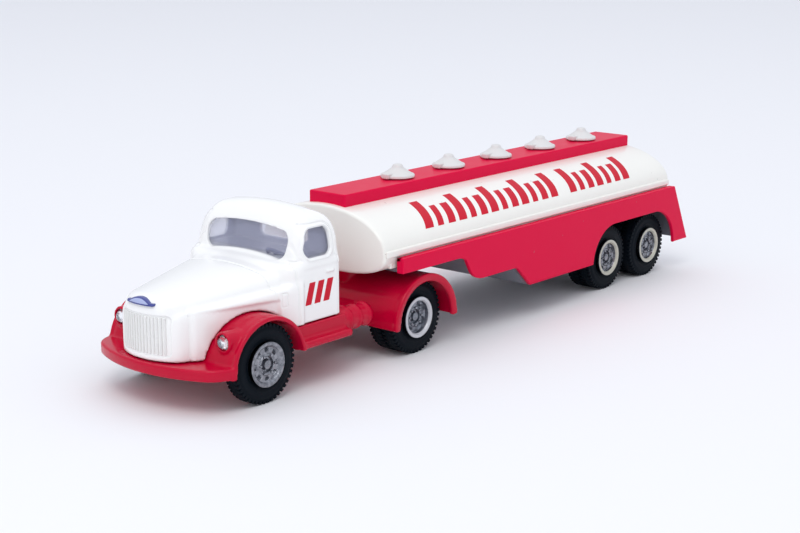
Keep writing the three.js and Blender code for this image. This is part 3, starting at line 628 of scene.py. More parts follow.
def bevelled(mesh: Mesh, width: float, segments: int = 3, angle: float = 30) -> Mesh:
    """A mesh with its sharp edges rounded; width is in millimetres and angle in degrees."""
    made = with_modifier(mesh, "BEVEL", width=width * MM, segments=segments, limit_method="ANGLE",
                         angle_limit=math.radians(angle))
    made.shade_smooth()
    made.set_sharp_from_angle(angle=FLAT_ANGLE)
    return made


def moved(mesh: Mesh, place: Place, turn: float = 0.0) -> Mesh:
    """A copy of a mesh, turned about Z by an angle in radians and moved to a place in millimetres."""
    copy = mesh.copy()
    copy.transform(Matrix.Translation(Vector(place) * MM) @ Matrix.Rotation(turn, 4, "Z"))
    return copy


# ---- geometry nodes
@dataclass
class RingTree:
    """A geometry node tree that repeats a piece at even angles round an axis.

    Attributes:
        tree: The tree.
        sockets: Identifier of each named input.
    """

    tree: bpy.types.GeometryNodeTree = field(init=False)
    sockets: dict[str, str] = field(init=False, default_factory=dict)

    def __post_init__(self) -> None:
        """Builds the tree with its named inputs."""
        self.tree = bpy.data.node_groups.new("ring of copies", "GeometryNodeTree")
        face = self.tree.interface
        face.new_socket("Geometry", in_out="INPUT", socket_type="NodeSocketGeometry")
        for name, kind in (("Count", "Int"), ("Sweep", "Float"), ("Start", "Float"), ("Axis", "Vector"),
                           ("Centre", "Vector"), ("Material", "Material")):
            made = face.new_socket(name, in_out="INPUT", socket_type=f"NodeSocket{kind}")
            self.sockets[name] = made.identifier
        face.new_socket("Geometry", in_out="OUTPUT", socket_type="NodeSocketGeometry")
        nodes, links = self.tree.nodes, self.tree.links
        given = nodes.new("NodeGroupInput")
        line = nodes.new("GeometryNodeMeshLine")
        links.new(given.outputs["Count"], line.inputs["Count"])
        line.inputs["Offset"].default_value = (0, 0, 0)
        back = self.math("VectorMath", "SCALE", given.outputs["Centre"])
        back.inputs["Scale"].default_value = -1
        to_axis = self.shift(given.outputs["Geometry"], back.outputs[0])
        gaps = self.math("Math", "SUBTRACT", given.outputs["Count"], 1.0)
        index = nodes.new("GeometryNodeInputIndex")
        share = self.math("Math", "DIVIDE", index.outputs[0], gaps.outputs[0])
        part = self.math("Math", "MULTIPLY", share.outputs[0], given.outputs["Sweep"])
        angle = self.math("Math", "ADD", part.outputs[0], given.outputs["Start"])
        turn = nodes.new("FunctionNodeAxisAngleToRotation")
        links.new(given.outputs["Axis"], turn.inputs["Axis"])
        links.new(angle.outputs[0], turn.inputs["Angle"])
        copies = nodes.new("GeometryNodeInstanceOnPoints")
        links.new(line.outputs["Mesh"], copies.inputs["Points"])
        links.new(to_axis, copies.inputs["Instance"])
        links.new(turn.outputs["Rotation"], copies.inputs["Rotation"])
        real = nodes.new("GeometryNodeRealizeInstances")
        links.new(copies.outputs["Instances"], real.inputs["Geometry"])
        placed = self.shift(real.outputs["Geometry"], given.outputs["Centre"])
        dressed = nodes.new("GeometryNodeSetMaterial")
        links.new(placed, dressed.inputs["Geometry"])
        links.new(given.outputs["Material"], dressed.inputs["Material"])
        out = nodes.new("NodeGroupOutput")
        links.new(dressed.outputs["Geometry"], out.inputs["Geometry"])

    def math(self, kind: str, operation: str, first: Socket,
             second: Socket | float | None = None) -> bpy.types.Node:
        """A math node on one or two values.

        Args:
            kind: Math or VectorMath.
            operation: What it works out.
            first: Its first value.
            second: Its second value, if it has one.

        Returns:
            The node.
        """
        node = self.tree.nodes.new(f"ShaderNode{kind}")
        node.operation = operation
        self.tree.links.new(first, node.inputs[0])
        if isinstance(second, (int, float)):
            node.inputs[1].default_value = second
        elif second is not None:
            self.tree.links.new(second, node.inputs[1])
        return node

    def shift(self, geometry: Socket, by: Socket) -> Socket:
        """Moves geometry by a vector.

        Args:
            geometry: The geometry.
            by: The vector.

        Returns:
            The moved geometry.
        """
        node = self.tree.nodes.new("GeometryNodeTransform")
        self.tree.links.new(geometry, node.inputs["Geometry"])
        self.tree.links.new(by, node.inputs["Translation"])
        return node.outputs["Geometry"]

    def repeat(self, mesh: Mesh, count: int, material: bpy.types.Material,
               axis: Place = (0, 1, 0), centre: Place = (0, 0, 0),
               sweep: float | None = None, start: float = 0.0) -> Mesh:
        """Copies of a mesh round an axis, as one plain mesh.

        Args:
            mesh: The piece that is repeated, where its first copy stands.
            count: Number of copies.
            material: Their material.
            axis: Direction of the axis.
            centre: A point on the axis, in millimetres.
            sweep: Angle from the first copy to the last; None for a whole turn.
            start: Angle of the first copy.

        Returns:
            The plain mesh.
        """
        holder = bpy.data.objects.new("holder", mesh)
        bpy.context.scene.collection.objects.link(holder)
        modifier = holder.modifiers.new("ring", "NODES")
        modifier.node_group = self.tree
        whole = math.tau * (count - 1) / count
        values = {"Count": count, "Sweep": whole if sweep is None else sweep, "Start": start,
                  "Axis": tuple(axis), "Centre": tuple(np.array(centre) * MM), "Material": material}
        for name, value in values.items():
            modifier[self.sockets[name]] = value
        made = evaluated(holder)
        holder.modifiers.remove(modifier)
        bpy.data.objects.remove(holder)
        return made


# ---- shader groups
@dataclass
class ShaderGroup:
    """A node group with named sockets, built once and used by many finishes.

    Attributes:
        name: The group's name.
        inputs: Socket name, kind and default value.
        outputs: Socket name and kind.
        tree: The group's node tree.
        given: The node that its inputs come from.
        out: The node that its outputs go to.
        coordinates: The place on the piece.
    """

    name: str
    inputs: Sequence[tuple[str, str, object]]
    outputs: Sequence[tuple[str, str]]
    tree: bpy.types.ShaderNodeTree = field(init=False)
    given: bpy.types.Node = field(init=False)
    out: bpy.types.Node = field(init=False)
    coordinates: Socket = field(init=False)

    def __post_init__(self) -> None:
        """Makes the sockets and the two end nodes."""
        self.tree = bpy.data.node_groups.new(self.name, "ShaderNodeTree")
        for name, kind, value in self.inputs:
            made = self.tree.interface.new_socket(name, in_out="INPUT", socket_type=f"NodeSocket{kind}")
            made.default_value = value
        for name, kind in self.outputs:
            self.tree.interface.new_socket(name, in_out="OUTPUT", socket_type=f"NodeSocket{kind}")
        self.given = self.tree.nodes.new("NodeGroupInput")
        self.out = self.tree.nodes.new("NodeGroupOutput")
        self.coordinates = self.tree.nodes.new("ShaderNodeTexCoord").outputs["Object"]

    def node(self, kind: str, links: dict[str | int, object] | None = None,
             **settings: object) -> bpy.types.Node:
        """Adds a node.

        Args:
            kind: Type of the node without its ShaderNode prefix.
            links: Input name or number, and the socket or plain value that goes there.
            **settings: The node's own settings.

        Returns:
            The node.
        """
        made = self.tree.nodes.new(f"ShaderNode{kind}")
        for key, value in settings.items():
            setattr(made, key, value)
        for key, value in (links or {}).items():
            if isinstance(value, Socket):
                self.tree.links.new(value, made.inputs[key])
            else:
                made.inputs[key].default_value = value
        return made

    def math(self, operation: str, first: object, second: object = 0.0,
             clamp: bool = False) -> Socket:
        """The result socket of a math node."""
        return self.node("Math", {0: first, 1: second}, operation=operation, use_clamp=clamp).outputs[0]

    def noise(self, scale: object, detail: float = 3.0,
              stretch: Place | None = None) -> Socket:
        """The value socket of a noise in object space.

        Args:
            scale: Bumps to a metre.
            detail: Octaves.
            stretch: Scale along each direction.

        Returns:
            The noise, about 0.5.
        """
        where = self.coordinates
        if stretch is not None:
            where = self.node("VectorMath", {0: where, 1: tuple(stretch)}, operation="MULTIPLY").outputs[0]
        made = self.node("TexNoise", {"Vector": where, "Scale": scale, "Detail": detail})
        return made.outputs["Fac"]

    def mix(self, share: object, first: object, second: object) -> Socket:
        """The colour socket of a mix of two colours.

        Args:
            share: Share of the second colour.
            first: The first colour.
            second: The second.

        Returns:
            The mixed colour.
        """
        made = self.tree.nodes.new("ShaderNodeMix")
        made.data_type = "RGBA"
        for number, value in ((0, share), (6, first), (7, second)):
            if isinstance(value, Socket):
                self.tree.links.new(value, made.inputs[number])
            else:
                made.inputs[number].default_value = value
        return made.outputs[2]

    def give(self, name: str, socket: Socket) -> None:
        """Sends a socket out of the group."""
        self.tree.links.new(socket, self.out.inputs[name])


def skin_group() -> ShaderGroup:
    """Uneven colour, gloss and surface of a sprayed, plated or moulded skin; on plating the uneven colour is
    painted reflection.

    Returns:
        The group.
    """
    group = ShaderGroup(
        "uneven skin",
        [("Colour", "Color", (1, 1, 1, 1)), ("Tint", "Color", (1, 1, 1, 1)), ("Patch Scale", "Float", 90.0),
         ("Patches", "Float", 0.3), ("Roughness", "Float", 0.3), ("Roughness Spread", "Float", 0.1),
         ("Peel Scale", "Float", 1500.0), ("Grain Scale", "Float", 5000.0), ("Grain", "Float", 0.2)],
        [("Colour", "Color"), ("Roughness", "Float"), ("Height", "Float")],
    )
    given = group.given.outputs
    patches = group.noise(given["Patch Scale"])
    share = group.math("MULTIPLY", patches, given["Patches"], clamp=True)
    group.give("Colour", group.mix(share, given["Colour"], given["Tint"]))
    centred = group.math("SUBTRACT", group.noise(given["Patch Scale"], 6.0, (1.7, 1.3, 2.1)), 0.5)
    spread = group.math("MULTIPLY", centred, given["Roughness Spread"])
    group.give("Roughness", group.math("ADD", spread, given["Roughness"], clamp=True))
    grain = group.math("MULTIPLY", group.noise(given["Grain Scale"], 1.0), given["Grain"])
    group.give("Height", group.math("ADD", group.noise(given["Peel Scale"], 1.0), grain))
    return group


def chip_group() -> ShaderGroup:
    """Small scattered chips that show what lies under the finish.

    Returns:
        The group.
    """
    group = ShaderGroup(
        "paint chips",
        [("Colour", "Color", (1, 1, 1, 1)), ("Bare", "Color", (0.2, 0.2, 0.2, 1)), ("Scale", "Float", 900.0),
         ("Amount", "Float", 0.0)],
        [("Colour", "Color")],
    )
    given = group.given.outputs
    rare = group.math("SUBTRACT", group.noise(given["Scale"], 2.0, (0.6, 0.7, 0.5)), 0.755)
    mask = group.math("MULTIPLY", group.math("MULTIPLY", rare, 60.0, clamp=True), given["Amount"])
    group.give("Colour", group.mix(mask, given["Colour"], given["Bare"]))
    return group


def dust_group() -> ShaderGroup:
    """Fine pale dust that lies on what faces up.

    Returns:
        The group.
    """
    group = ShaderGroup(
        "shelf dust",
        [("Colour", "Color", (1, 1, 1, 1)), ("Dust", "Color", (0.6, 0.58, 0.55, 1)),
         ("Amount", "Float", 0.1)],
        [("Colour", "Color")],
    )
    given = group.given.outputs
    up = group.node("SeparateXYZ", {0: group.node("NewGeometry").outputs["Normal"]}).outputs["Z"]
    lying = group.math("MULTIPLY", group.math("MAXIMUM", up, 0.0), group.noise(260.0, 5.0))
    mask = group.math("MULTIPLY", lying, given["Amount"], clamp=True)
    group.give("Colour", group.mix(mask, given["Colour"], given["Dust"]))
    return group


@dataclass
class PaintShop:
    """Holds the shared shader groups and every material once it is mixed.

    Attributes:
        groups: The shader groups by their short names.
        materials: The materials by their finishes' names.
    """

    groups: dict[str, ShaderGroup] = field(default_factory=dict)
    materials: dict[str, bpy.types.Material] = field(default_factory=dict)

    def __post_init__(self) -> None:
        """Builds the groups."""
        self.groups = {"skin": skin_group(), "chips": chip_group(), "dust": dust_group()}

    def mix(self, finish: "Finish") -> bpy.types.Material:
        """The material of a finish, made once."""
        if finish.name not in self.materials:
            self.materials[finish.name] = finish.material(self.groups)
        return self.materials[finish.name]


@dataclass(frozen=True)
class Finish:
    """A finish of the toy's surface.

    Attributes:
        name: The material's name.
        colour: Main colour.
        tint: Colour of its uneven patches; on the platings these dark patches are painted reflection.
        roughness: Mean roughness.
        metallic: 1 for bare metal.
        coat: Weight of a clear gloss coat.
        patches: How strongly the tint shows.
        patch_scale: Patches to a metre.
        spread: How far the roughness varies.
        peel: Height of the surface's unevenness, in metres.
        peel_scale: Bumps to a metre.
        grain: Share of fine grain in the bumps.
        specks: How clearly its small chips show.
        bare: Colour under the finish.
        dust: How much dust lies on top.
        clear: 1 for glass.
        alpha: Below 1 for thin clear plastic.
        index: Refractive index.
    """

    name: str
    colour: Colour
    tint: Colour
    roughness: float = 0.3
    metallic: float = 0.0
    coat: float = 0.0
    patches: float = 0.4
    patch_scale: float = 90.0
    spread: float = 0.1
    peel: float = 0.000012
    peel_scale: float = 900.0
    grain: float = 0.15
    specks: float = 0.0
    bare: Colour = (0.16, 0.15, 0.15)
    dust: float = 0.0
    clear: float = 0.0
    alpha: float = 1.0
    index: float = 1.5

    def material(self, groups: dict[str, ShaderGroup]) -> bpy.types.Material:
        """Builds the node material.

        Args:
            groups: The shared shader groups.

        Returns:
            The material.
        """
        made = bpy.data.materials.new(self.name)
        made.use_nodes = True
        tree = made.node_tree
        shader = tree.nodes["Principled BSDF"]
        fill(shader, {
            "IOR": self.index, "Metallic": self.metallic, "Coat Weight": self.coat, "Coat Roughness": 0.06,
            "Transmission Weight": self.clear, "Alpha": self.alpha,
        })
        skin = self.place(tree, groups["skin"], {
            "Colour": (*self.colour, 1), "Tint": (*self.tint, 1), "Patch Scale": self.patch_scale,
            "Patches": self.patches, "Roughness": self.roughness, "Roughness Spread": self.spread,
            "Peel Scale": self.peel_scale, "Grain": self.grain,
        })
        colour = skin.outputs["Colour"]
        if self.specks:
            chipped = self.place(tree, groups["chips"], {"Bare": (*self.bare, 1), "Amount": self.specks})
            tree.links.new(colour, chipped.inputs["Colour"])
            colour = chipped.outputs["Colour"]
        if self.dust:
            dusty = self.place(tree, groups["dust"], {"Amount": self.dust})
            tree.links.new(colour, dusty.inputs["Colour"])
            colour = dusty.outputs["Colour"]
        tree.links.new(colour, shader.inputs["Base Color"])
        tree.links.new(skin.outputs["Roughness"], shader.inputs["Roughness"])
        bump = tree.nodes.new("ShaderNodeBump")
        fill(bump, {"Strength": 1.0, "Distance": self.peel})
        tree.links.new(skin.outputs["Height"], bump.inputs["Height"])
        tree.links.new(bump.outputs["Normal"], shader.inputs["Normal"])
        return made

    @staticmethod
    def place(tree: bpy.types.NodeTree, group: ShaderGroup, values: dict[str, object]) -> bpy.types.Node:
        """Puts a group into a material with its own values.

        Args:
            tree: The material's node tree.
            group: The group.
            values: Its inputs' values.

        Returns:
            The group's node.
        """
        node = tree.nodes.new("ShaderNodeGroup")
        node.node_tree = group.tree
        fill(node, values)
        return node


CAB_WHITE = Finish("cab_white_enamel", (0.95, 0.95, 0.93), (0.93, 0.92, 0.90), 0.24, coat=0.5, specks=0.15,
                   bare=(0.10, 0.09, 0.09))
HATCH_WHITE = Finish("hatch_white_plastic", (0.74, 0.73, 0.71), (0.66, 0.65, 0.64), 0.38, dust=0.15)
TANK_CREAM = Finish("tank_cream_enamel", (0.92, 0.91, 0.85), (0.88, 0.86, 0.79), 0.30, coat=0.35,
                    peel=0.00002, specks=0.3, bare=(0.12, 0.10, 0.09))
CHASSIS_RED = Finish("chassis_red_enamel", (0.56, 0.001, 0.032), (0.48, 0.001, 0.026), 0.20, coat=0.2,
                     peel=0.00002, index=1.22)
TRAILER_RED = Finish("trailer_red_enamel", (0.76, 0.003, 0.055), (0.70, 0.002, 0.05), 0.34, coat=0.03,
                     peel=0.000016, specks=0.25, bare=(0.30, 0.28, 0.27), index=1.16)
PRINT_RED = Finish("printed_red", (0.62, 0.010, 0.030), (0.56, 0.010, 0.026), 0.45, patches=0.3, index=1.25)
RUBBER = Finish("tyre_rubber", (0.0015, 0.004, 0.008), (0.003, 0.007, 0.012), 0.55, patches=0.5, peel=0.00003,
                peel_scale=2500, grain=0.6, index=1.2)
# On both platings the dark tint, laid over the whole surface at patches=1.0, is painted reflection: blotches
# that stand in for the surroundings mirrored in the chrome.
PLATED = Finish("bright_plating", (0.50, 0.51, 0.55), (0.02, 0.025, 0.04), 0.20, metallic=1.0, patches=1.0,
                patch_scale=1000, spread=0.3, peel=0.00009, peel_scale=1500, grain=0.5)
DULL_PLATED = Finish("dull_plating", (0.36, 0.38, 0.42), (0.14, 0.15, 0.18), 0.32, metallic=1.0, patches=1.0,
                     patch_scale=1100, spread=0.3, peel=0.00007, peel_scale=1500, grain=0.5)
RIM_GREY = Finish("rim_pale_paint", (0.62, 0.63, 0.66), (0.50, 0.50, 0.52), 0.4, patches=0.6, metallic=0.3)
RIM_CREAM = Finish("rim_cream_paint", (0.62, 0.60, 0.50), (0.42, 0.41, 0.36), 0.38, patches=0.8, metallic=0.3,
                   patch_scale=700)
STEEL = Finish("plain_steel", (0.55, 0.56, 0.58), (0.40, 0.41, 0.43), 0.32, metallic=1.0, patch_scale=600)
DARK_BASE = Finish("dark_moulding", (0.17, 0.18, 0.21), (0.22, 0.23, 0.26), 0.5, peel=0.00004,
                   peel_scale=1600, dust=0.1)
INTERIOR = Finish("interior_grey_moulding", (0.72, 0.72, 0.84), (0.66, 0.66, 0.78), 0.5)
NAVY = Finish("steering_navy_moulding", (0.018, 0.03, 0.10), (0.03, 0.045, 0.13), 0.35)
BADGE_BLUE = Finish("badge_blue", (0.035, 0.05, 0.26), (0.05, 0.07, 0.32), 0.3, coat=0.5)
BADGE_PALE = Finish("badge_pale", (0.38, 0.44, 0.70), (0.5, 0.55, 0.78), 0.3, coat=0.5)
# The clear plastic's pale lavender base colour at low alpha lays a veil over the windows that paints in the
# milky reflection of the bright surroundings.
CLEAR = Finish("clear_plastic", (0.66, 0.68, 0.88), (0.62, 0.64, 0.84), 0.08, alpha=0.2, index=1.45,
               spread=0.03, peel=0.000004)
JEWEL = Finish("jewel_glass", (0.97, 0.98, 1.0), (0.92, 0.93, 0.95), 0.02, clear=1.0, index=1.6, spread=0.01,
               peel=0.000001)
GRILLE_WHITE = Finish("grille_white_enamel", (0.82, 0.82, 0.80), (0.76, 0.75, 0.72), 0.26, coat=0.4,
                      specks=0.9, bare=(0.10, 0.09, 0.09))


# ---- shared forms
def rounded_meet(a: np.ndarray, b: np.ndarray, radius: float) -> np.ndarray:
    """What two forms have in common, with an edge of a given radius."""
    inner_a, inner_b = a + radius, b + radius
    outside = np.hypot(np.maximum(inner_a, 0), np.maximum(inner_b, 0))
    return outside + np.minimum(np.maximum(inner_a, inner_b), 0) - radius


def mirrored(p: Points) -> Points:
    """Points folded onto the left side."""
    folded = p.copy()
    folded[:, 1] = np.abs(folded[:, 1])
    return folded


def plan_box(x: np.ndarray, y: np.ndarray, back: Points, front: Points, half: Points,
             radii: Pair) -> np.ndarray:
    """Distances in plan to a box with one radius at its back corners and another at its front ones.

    Args:
        x: Places along X.
        y: Places along Y.
        back: Rear end.
        front: Front end.
        half: Half the width.
        radii: Radius of the back and of the front corners.

    Returns:
        One distance for each place.
    """
    radius = np.where(x > (back + front) / 2, radii[1], radii[0])
    qx = np.abs(x - (back + front) / 2) - (front - back) / 2 + radius
    qy = np.abs(y) - half + radius
    return np.hypot(np.maximum(qx, 0), np.maximum(qy, 0)) + np.minimum(np.maximum(qx, qy), 0) - radius


def upright(mesh: Mesh, place: Place) -> Mesh:
    """A form turned round Y, stood up so that it is turned round Z, at a place in millimetres."""
    copy = mesh.copy()
    turn = Matrix.Rotation(math.pi / 2, 4, "X")
    copy.transform(Matrix.Translation(Vector(place) * MM) @ turn)
    return copy


def node_copy(name: str) -> Mesh:
    """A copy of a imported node's mesh in the frame."""
    source = next(o for o in bpy.data.objects if o.name == name)
    mesh = source.data.copy()
    mesh.transform(source.matrix_world)
    return mesh


@dataclass(frozen=True)
class Panel:
    """A rectangle with round corners, drawn on one face of the vehicle.

    Attributes:
        u: Its ends along the first direction.
        v: Its ends along the second direction.
        corner: Radius of its corners.
    """

    u: Pair
    v: Pair
    corner: float

    def line(self, u: np.ndarray, v: np.ndarray) -> np.ndarray:
        """Signed distances to its outline.

        Args:
            u: Places along the first direction.
            v: Places along the second direction.

        Returns:
            One distance for each place, negative inside.
        """
        (u0, u1), (v0, v1), radius = self.u, self.v, self.corner
        qu = np.abs(u - (u0 + u1) / 2) - (u1 - u0) / 2 + radius
        qv = np.abs(v - (v0 + v1) / 2) - (v1 - v0) / 2 + radius
        outside = np.hypot(np.maximum(qu, 0), np.maximum(qv, 0))
        return outside + np.minimum(np.maximum(qu, qv), 0) - radius


@dataclass
class Workshop:
    """What every sub-assembly needs: the paint shop and the ring of copies.

    Attributes:
        paint: Mixes the materials.
        rings: Repeats pieces round an axis.
        made: Names of the pieces so far.
    """

    paint: PaintShop
    rings: RingTree
    made: list[str] = field(default_factory=list)

    def add(self, name: str, mesh: Mesh, finish: Finish, body: str, slot: str,
            *nodes: str) -> bpy.types.Object:
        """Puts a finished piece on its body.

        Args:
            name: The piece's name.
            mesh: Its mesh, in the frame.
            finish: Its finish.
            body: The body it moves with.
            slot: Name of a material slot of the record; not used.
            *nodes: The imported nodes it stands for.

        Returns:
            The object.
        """
        made = piece(name, mesh, self.paint.mix(finish))
        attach(made, body)
        if nodes:
            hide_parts(*nodes)
        self.made.append(name)
        log.info("%s: %d faces", name, len(mesh.polygons))
        return made


@dataclass
class Assembly:
    """A sub-assembly of the vehicle.

    Attributes:
        shop: The workshop that dresses its pieces.
    """

    shop: Workshop


# ---- tractor
@dataclass
class TractorChassis(Assembly):
    """The red casting: bumper, fenders, running boards, frame, fuel tanks and the bridge fender.

    Attributes:
        half: Half the width over the bumper.
        arch: Centre of the front arch, X and Z.
        arch_radii: Its inner and outer radius.
        bridge: Centre of the rear arch, X and Z.
        bridge_radii: Its inner and outer radius.
        bridge_half: Half the width of the rear fender.
        frame_half: Half the width of the frame.
        bow: Radius of the bumper's plan.
        bumper_z: Lower and upper edge of the bumper.
        sill_x: Rear and front end of the sills.
        tank_place: Middle of a fuel tank, Y and Z.
        lamp_place: Middle of a headlight, Y and Z.
    """

    half: float = 23.8
    arch: Pair = FRONT_ARCH
    arch_radii: Pair = (12.0, 13.2)
    bridge: Pair = (28.8, 9.5)
    bridge_radii: Pair = (12.3, 13.3)
    bridge_half: float = 25.2
    frame_half: float = 8.95
    bow: float = 43.4
    bumper_z: Pair = (9.3, 12.3)
    sill_x: Pair = (57.8, 76.6)
    tank_place: Pair = (17.9, 14.4)
    lamp_place: Pair = (19.2, 18.0)

    def __post_init__(self) -> None:
        """Takes the places of the axles, the kingpin and the nose from the frame."""
        self.nose = node_box("tractor_chassis")[1][0]
        self.front_axle = joint_place("front_wheels_roll")
        self.drive_axle = joint_place("drive_wheels_roll")
        self.kingpin = joint_place("trailer_swing")

    def bumper(self, q: Points) -> np.ndarray:
        """The bowed bumper with its round edges.

        Args:
            q: Points, folded onto the left side.

        Returns:
            Distances to it, negative inside.
        """
        x, y, z = q.T
        plan = soft_meet(np.hypot(x - self.nose + self.bow, y) - self.bow, y - self.half, 5.0)
        low, high = self.bumper_z
        level = np.abs(z - (low + high) / 2) - (high - low) / 2
        return np.maximum(rounded_meet(plan, level, 0.55), 99.8 - x)

    def fenders(self, q: Points) -> np.ndarray:
        """The front arches, crowned towards their lips.

        Args:
            q: Points, folded onto the left side.

        Returns:
            Distances to it, negative inside.
        """
        x, y, z = q.T
        inner, outer = self.arch_radii
        reach = np.hypot(x - self.arch[0], z - self.arch[1])
        crown = soft_meet(reach - outer, y - self.half, 3.2)
        lip = np.hypot(reach - inner - 0.55, y - self.half + 0.6) - 0.6
        whole = soft_union(crown, lip, 0.5)
        foot = np.where(x < self.arch[0], 11.3, self.bumper_z[0])
        return np.maximum(np.maximum(whole, self.frame_half - 1 - y), foot - z)

    def frame_rails(self, q: Points) -> np.ndarray:
        """The frame, its axle lugs and the floor's pedestal.

        Args:
            q: Points, folded onto the left side.

        Returns:
            Distances to it, negative inside.
        """
        rear = self.bridge[0] - self.bridge_radii[1] + 0.5
        half = self.frame_half
        parts = [
            block(q, (rear, -half, 13.6), (99.3, half, 15.0)),
            block(q, (rear, half - 1.4, 9.3), (101.8, half, 15.0)),
            block(q, (self.sill_x[0] + 3.8, -half, 14.0), (self.sill_x[1] - 2, half, 16.8)),
        ]
        for axle in (self.front_axle, self.drive_axle):
            parts.append(block(q, (axle[0] - 2.4, half - 1.4, 7.9), (axle[0] + 2.4, half, 15.0), 0.5))
        return np.minimum.reduce(parts)

    def boards(self, q: Points) -> np.ndarray:
        """The floor, the sills under the doors and the running boards.

        Args:
            q: Points, folded onto the left side.

        Returns:
            Distances to it, negative inside.
        """
        back, front = self.sill_x
        floor = block(q, (back, -21, 15.4), (front, 21, 16.8), 0.3)
        sill = block(q, (back, 19.8, 11.3), (front + 1, 21, 16.8), 0.4)
        board = block(q, (back, 18.0, 11.3), (front + 1, 23.6, 13.3), 0.7)
        return soft_union(np.minimum(floor, sill), board, 1.2)

    def fuel_tanks(self, q: Points) -> np.ndarray:
        """A banded fuel tank behind each door, with its bracket.

        Args:
            q: Points, folded onto the left side.

        Returns:
            Distances to it, negative inside.
        """
        y, z = self.tank_place
        back, front = 46.7, 58.3
        barrel = rod(q, Axis.X, (0, y, z), 3.1, (back, front), 0.6)
        for share in (0.08, 0.4, 0.72):
            start = back + share * (front - back)
            band = rod(q, Axis.X, (0, y, z), 3.45, (start, start + 1.1), 0.2)
            barrel = soft_union(barrel, band, 0.2)
        cap = rod(q, Axis.Z, (back + 9.6, y, 0), 0.9, (z + 2.6, z + 3.9), 0.3)
        bracket = block(q, (52.5, self.frame_half - 1, z - 1), (front, y, z + 0.6))
        return np.minimum.reduce([barrel, cap, bracket])

    def rear_fender(self, q: Points) -> np.ndarray:
        """The arch over the drive axle with a flat band on its outer edge, its stem and the boss.

        Args:
            q: Points, folded onto the left side.

        Returns:
            Distances to it, negative inside.
        """
        x, y, z = q.T
        inner, outer = self.bridge_radii
        reach = np.hypot(x - self.bridge[0], z - self.bridge[1])
        shell = np.maximum(np.abs(reach - (inner + outer) / 2) - (outer - inner) / 2, y - self.bridge_half)
        rim = np.abs(y - self.bridge_half + 0.65) - 0.65
        band = rounded_meet(np.abs(reach - outer + 1.0) - 1.0, rim, 0.25)
        whole = np.maximum(soft_union(shell, band, 0.5), 8.9 - z)
        pin = self.kingpin[0]
        stem = block(q, (pin - 6, -self.frame_half, 14), (pin + 6, self.frame_half, 20.3))
        stem = np.maximum(stem, reach - inner - 0.3)
        boss = rod(q, Axis.Z, (pin, 0, 0), 5.0, (19.3, 24.5), 0.3)
        return soft_union(np.minimum(whole, stem), boss, 0.6)

    def holes(self, q: Points) -> np.ndarray:
        """Bores for the axles, the kingpin and the rivets, and the lamps' pockets.

        Args:
            q: Points, folded onto the left side.

        Returns:
            Distances to it, negative inside.
        """
        y, z = self.lamp_place
        bores = [rod(q, Axis.Y, (axle[0], 0, axle[2]), 1.1, (-30, 30)) for axle in
                 (self.front_axle, self.drive_axle)]
        bores.append(rod(q, Axis.Z, (self.kingpin[0], 0, 0), 1.9, (0, 30)))
        bores += [rod(q, Axis.Z, (x, 0, 0), 1.3, (0, 17.8)) for x in CAB_RIVETS]
        bores.append(rod(q, Axis.X, (0, y, z), 2.05, (100.4, 110), 0.1))
        return np.minimum.reduce(bores)

    def shape(self, p: Points) -> np.ndarray:
        """Distances to the whole casting.

        Args:
            p: Points, one a row.

        Returns:
            Distances to it, negative inside.
        """
        q = mirrored(p)
        x, y, z = q.T
        front = soft_union(self.fenders(q), self.bumper(q), 0.9)
        lamp_y, lamp_z = self.lamp_place
        socket = rod(q, Axis.X, (0, lamp_y, lamp_z), 2.7, (96.4, 101.3), 0.35)
        front = soft_union(front, socket, 1.0)
        front = soft_union(front, self.boards(q), 0.7)
        reach = np.hypot(x - self.arch[0], z - self.arch[1])
        front = np.maximum(front, -np.maximum(reach - self.arch_radii[0], self.frame_half - y))
        whole = np.minimum.reduce([front, self.frame_rails(q), self.fuel_tanks(q), self.rear_fender(q)])
        return np.maximum(whole, -self.holes(q))

    def detail(self, p: Points) -> np.ndarray:
        """Distances to the lamps' sockets."""
        across = np.hypot(np.abs(p[:, 1]) - self.lamp_place[0], p[:, 2] - self.lamp_place[1])
        return np.where(p[:, 0] > 99.5, np.abs(across - 2.35), 9.0)

    def build(self) -> None:
        """Makes the casting."""
        low, high = node_box("tractor_chassis")
        mesh = Skin(self.shape, low, high, 0.435 * COARSE, self.detail).mesh("chassis")
        self.shop.add("chassis_casting", mesh, CHASSIS_RED, "tractor", "chassis_red", "tractor_chassis")


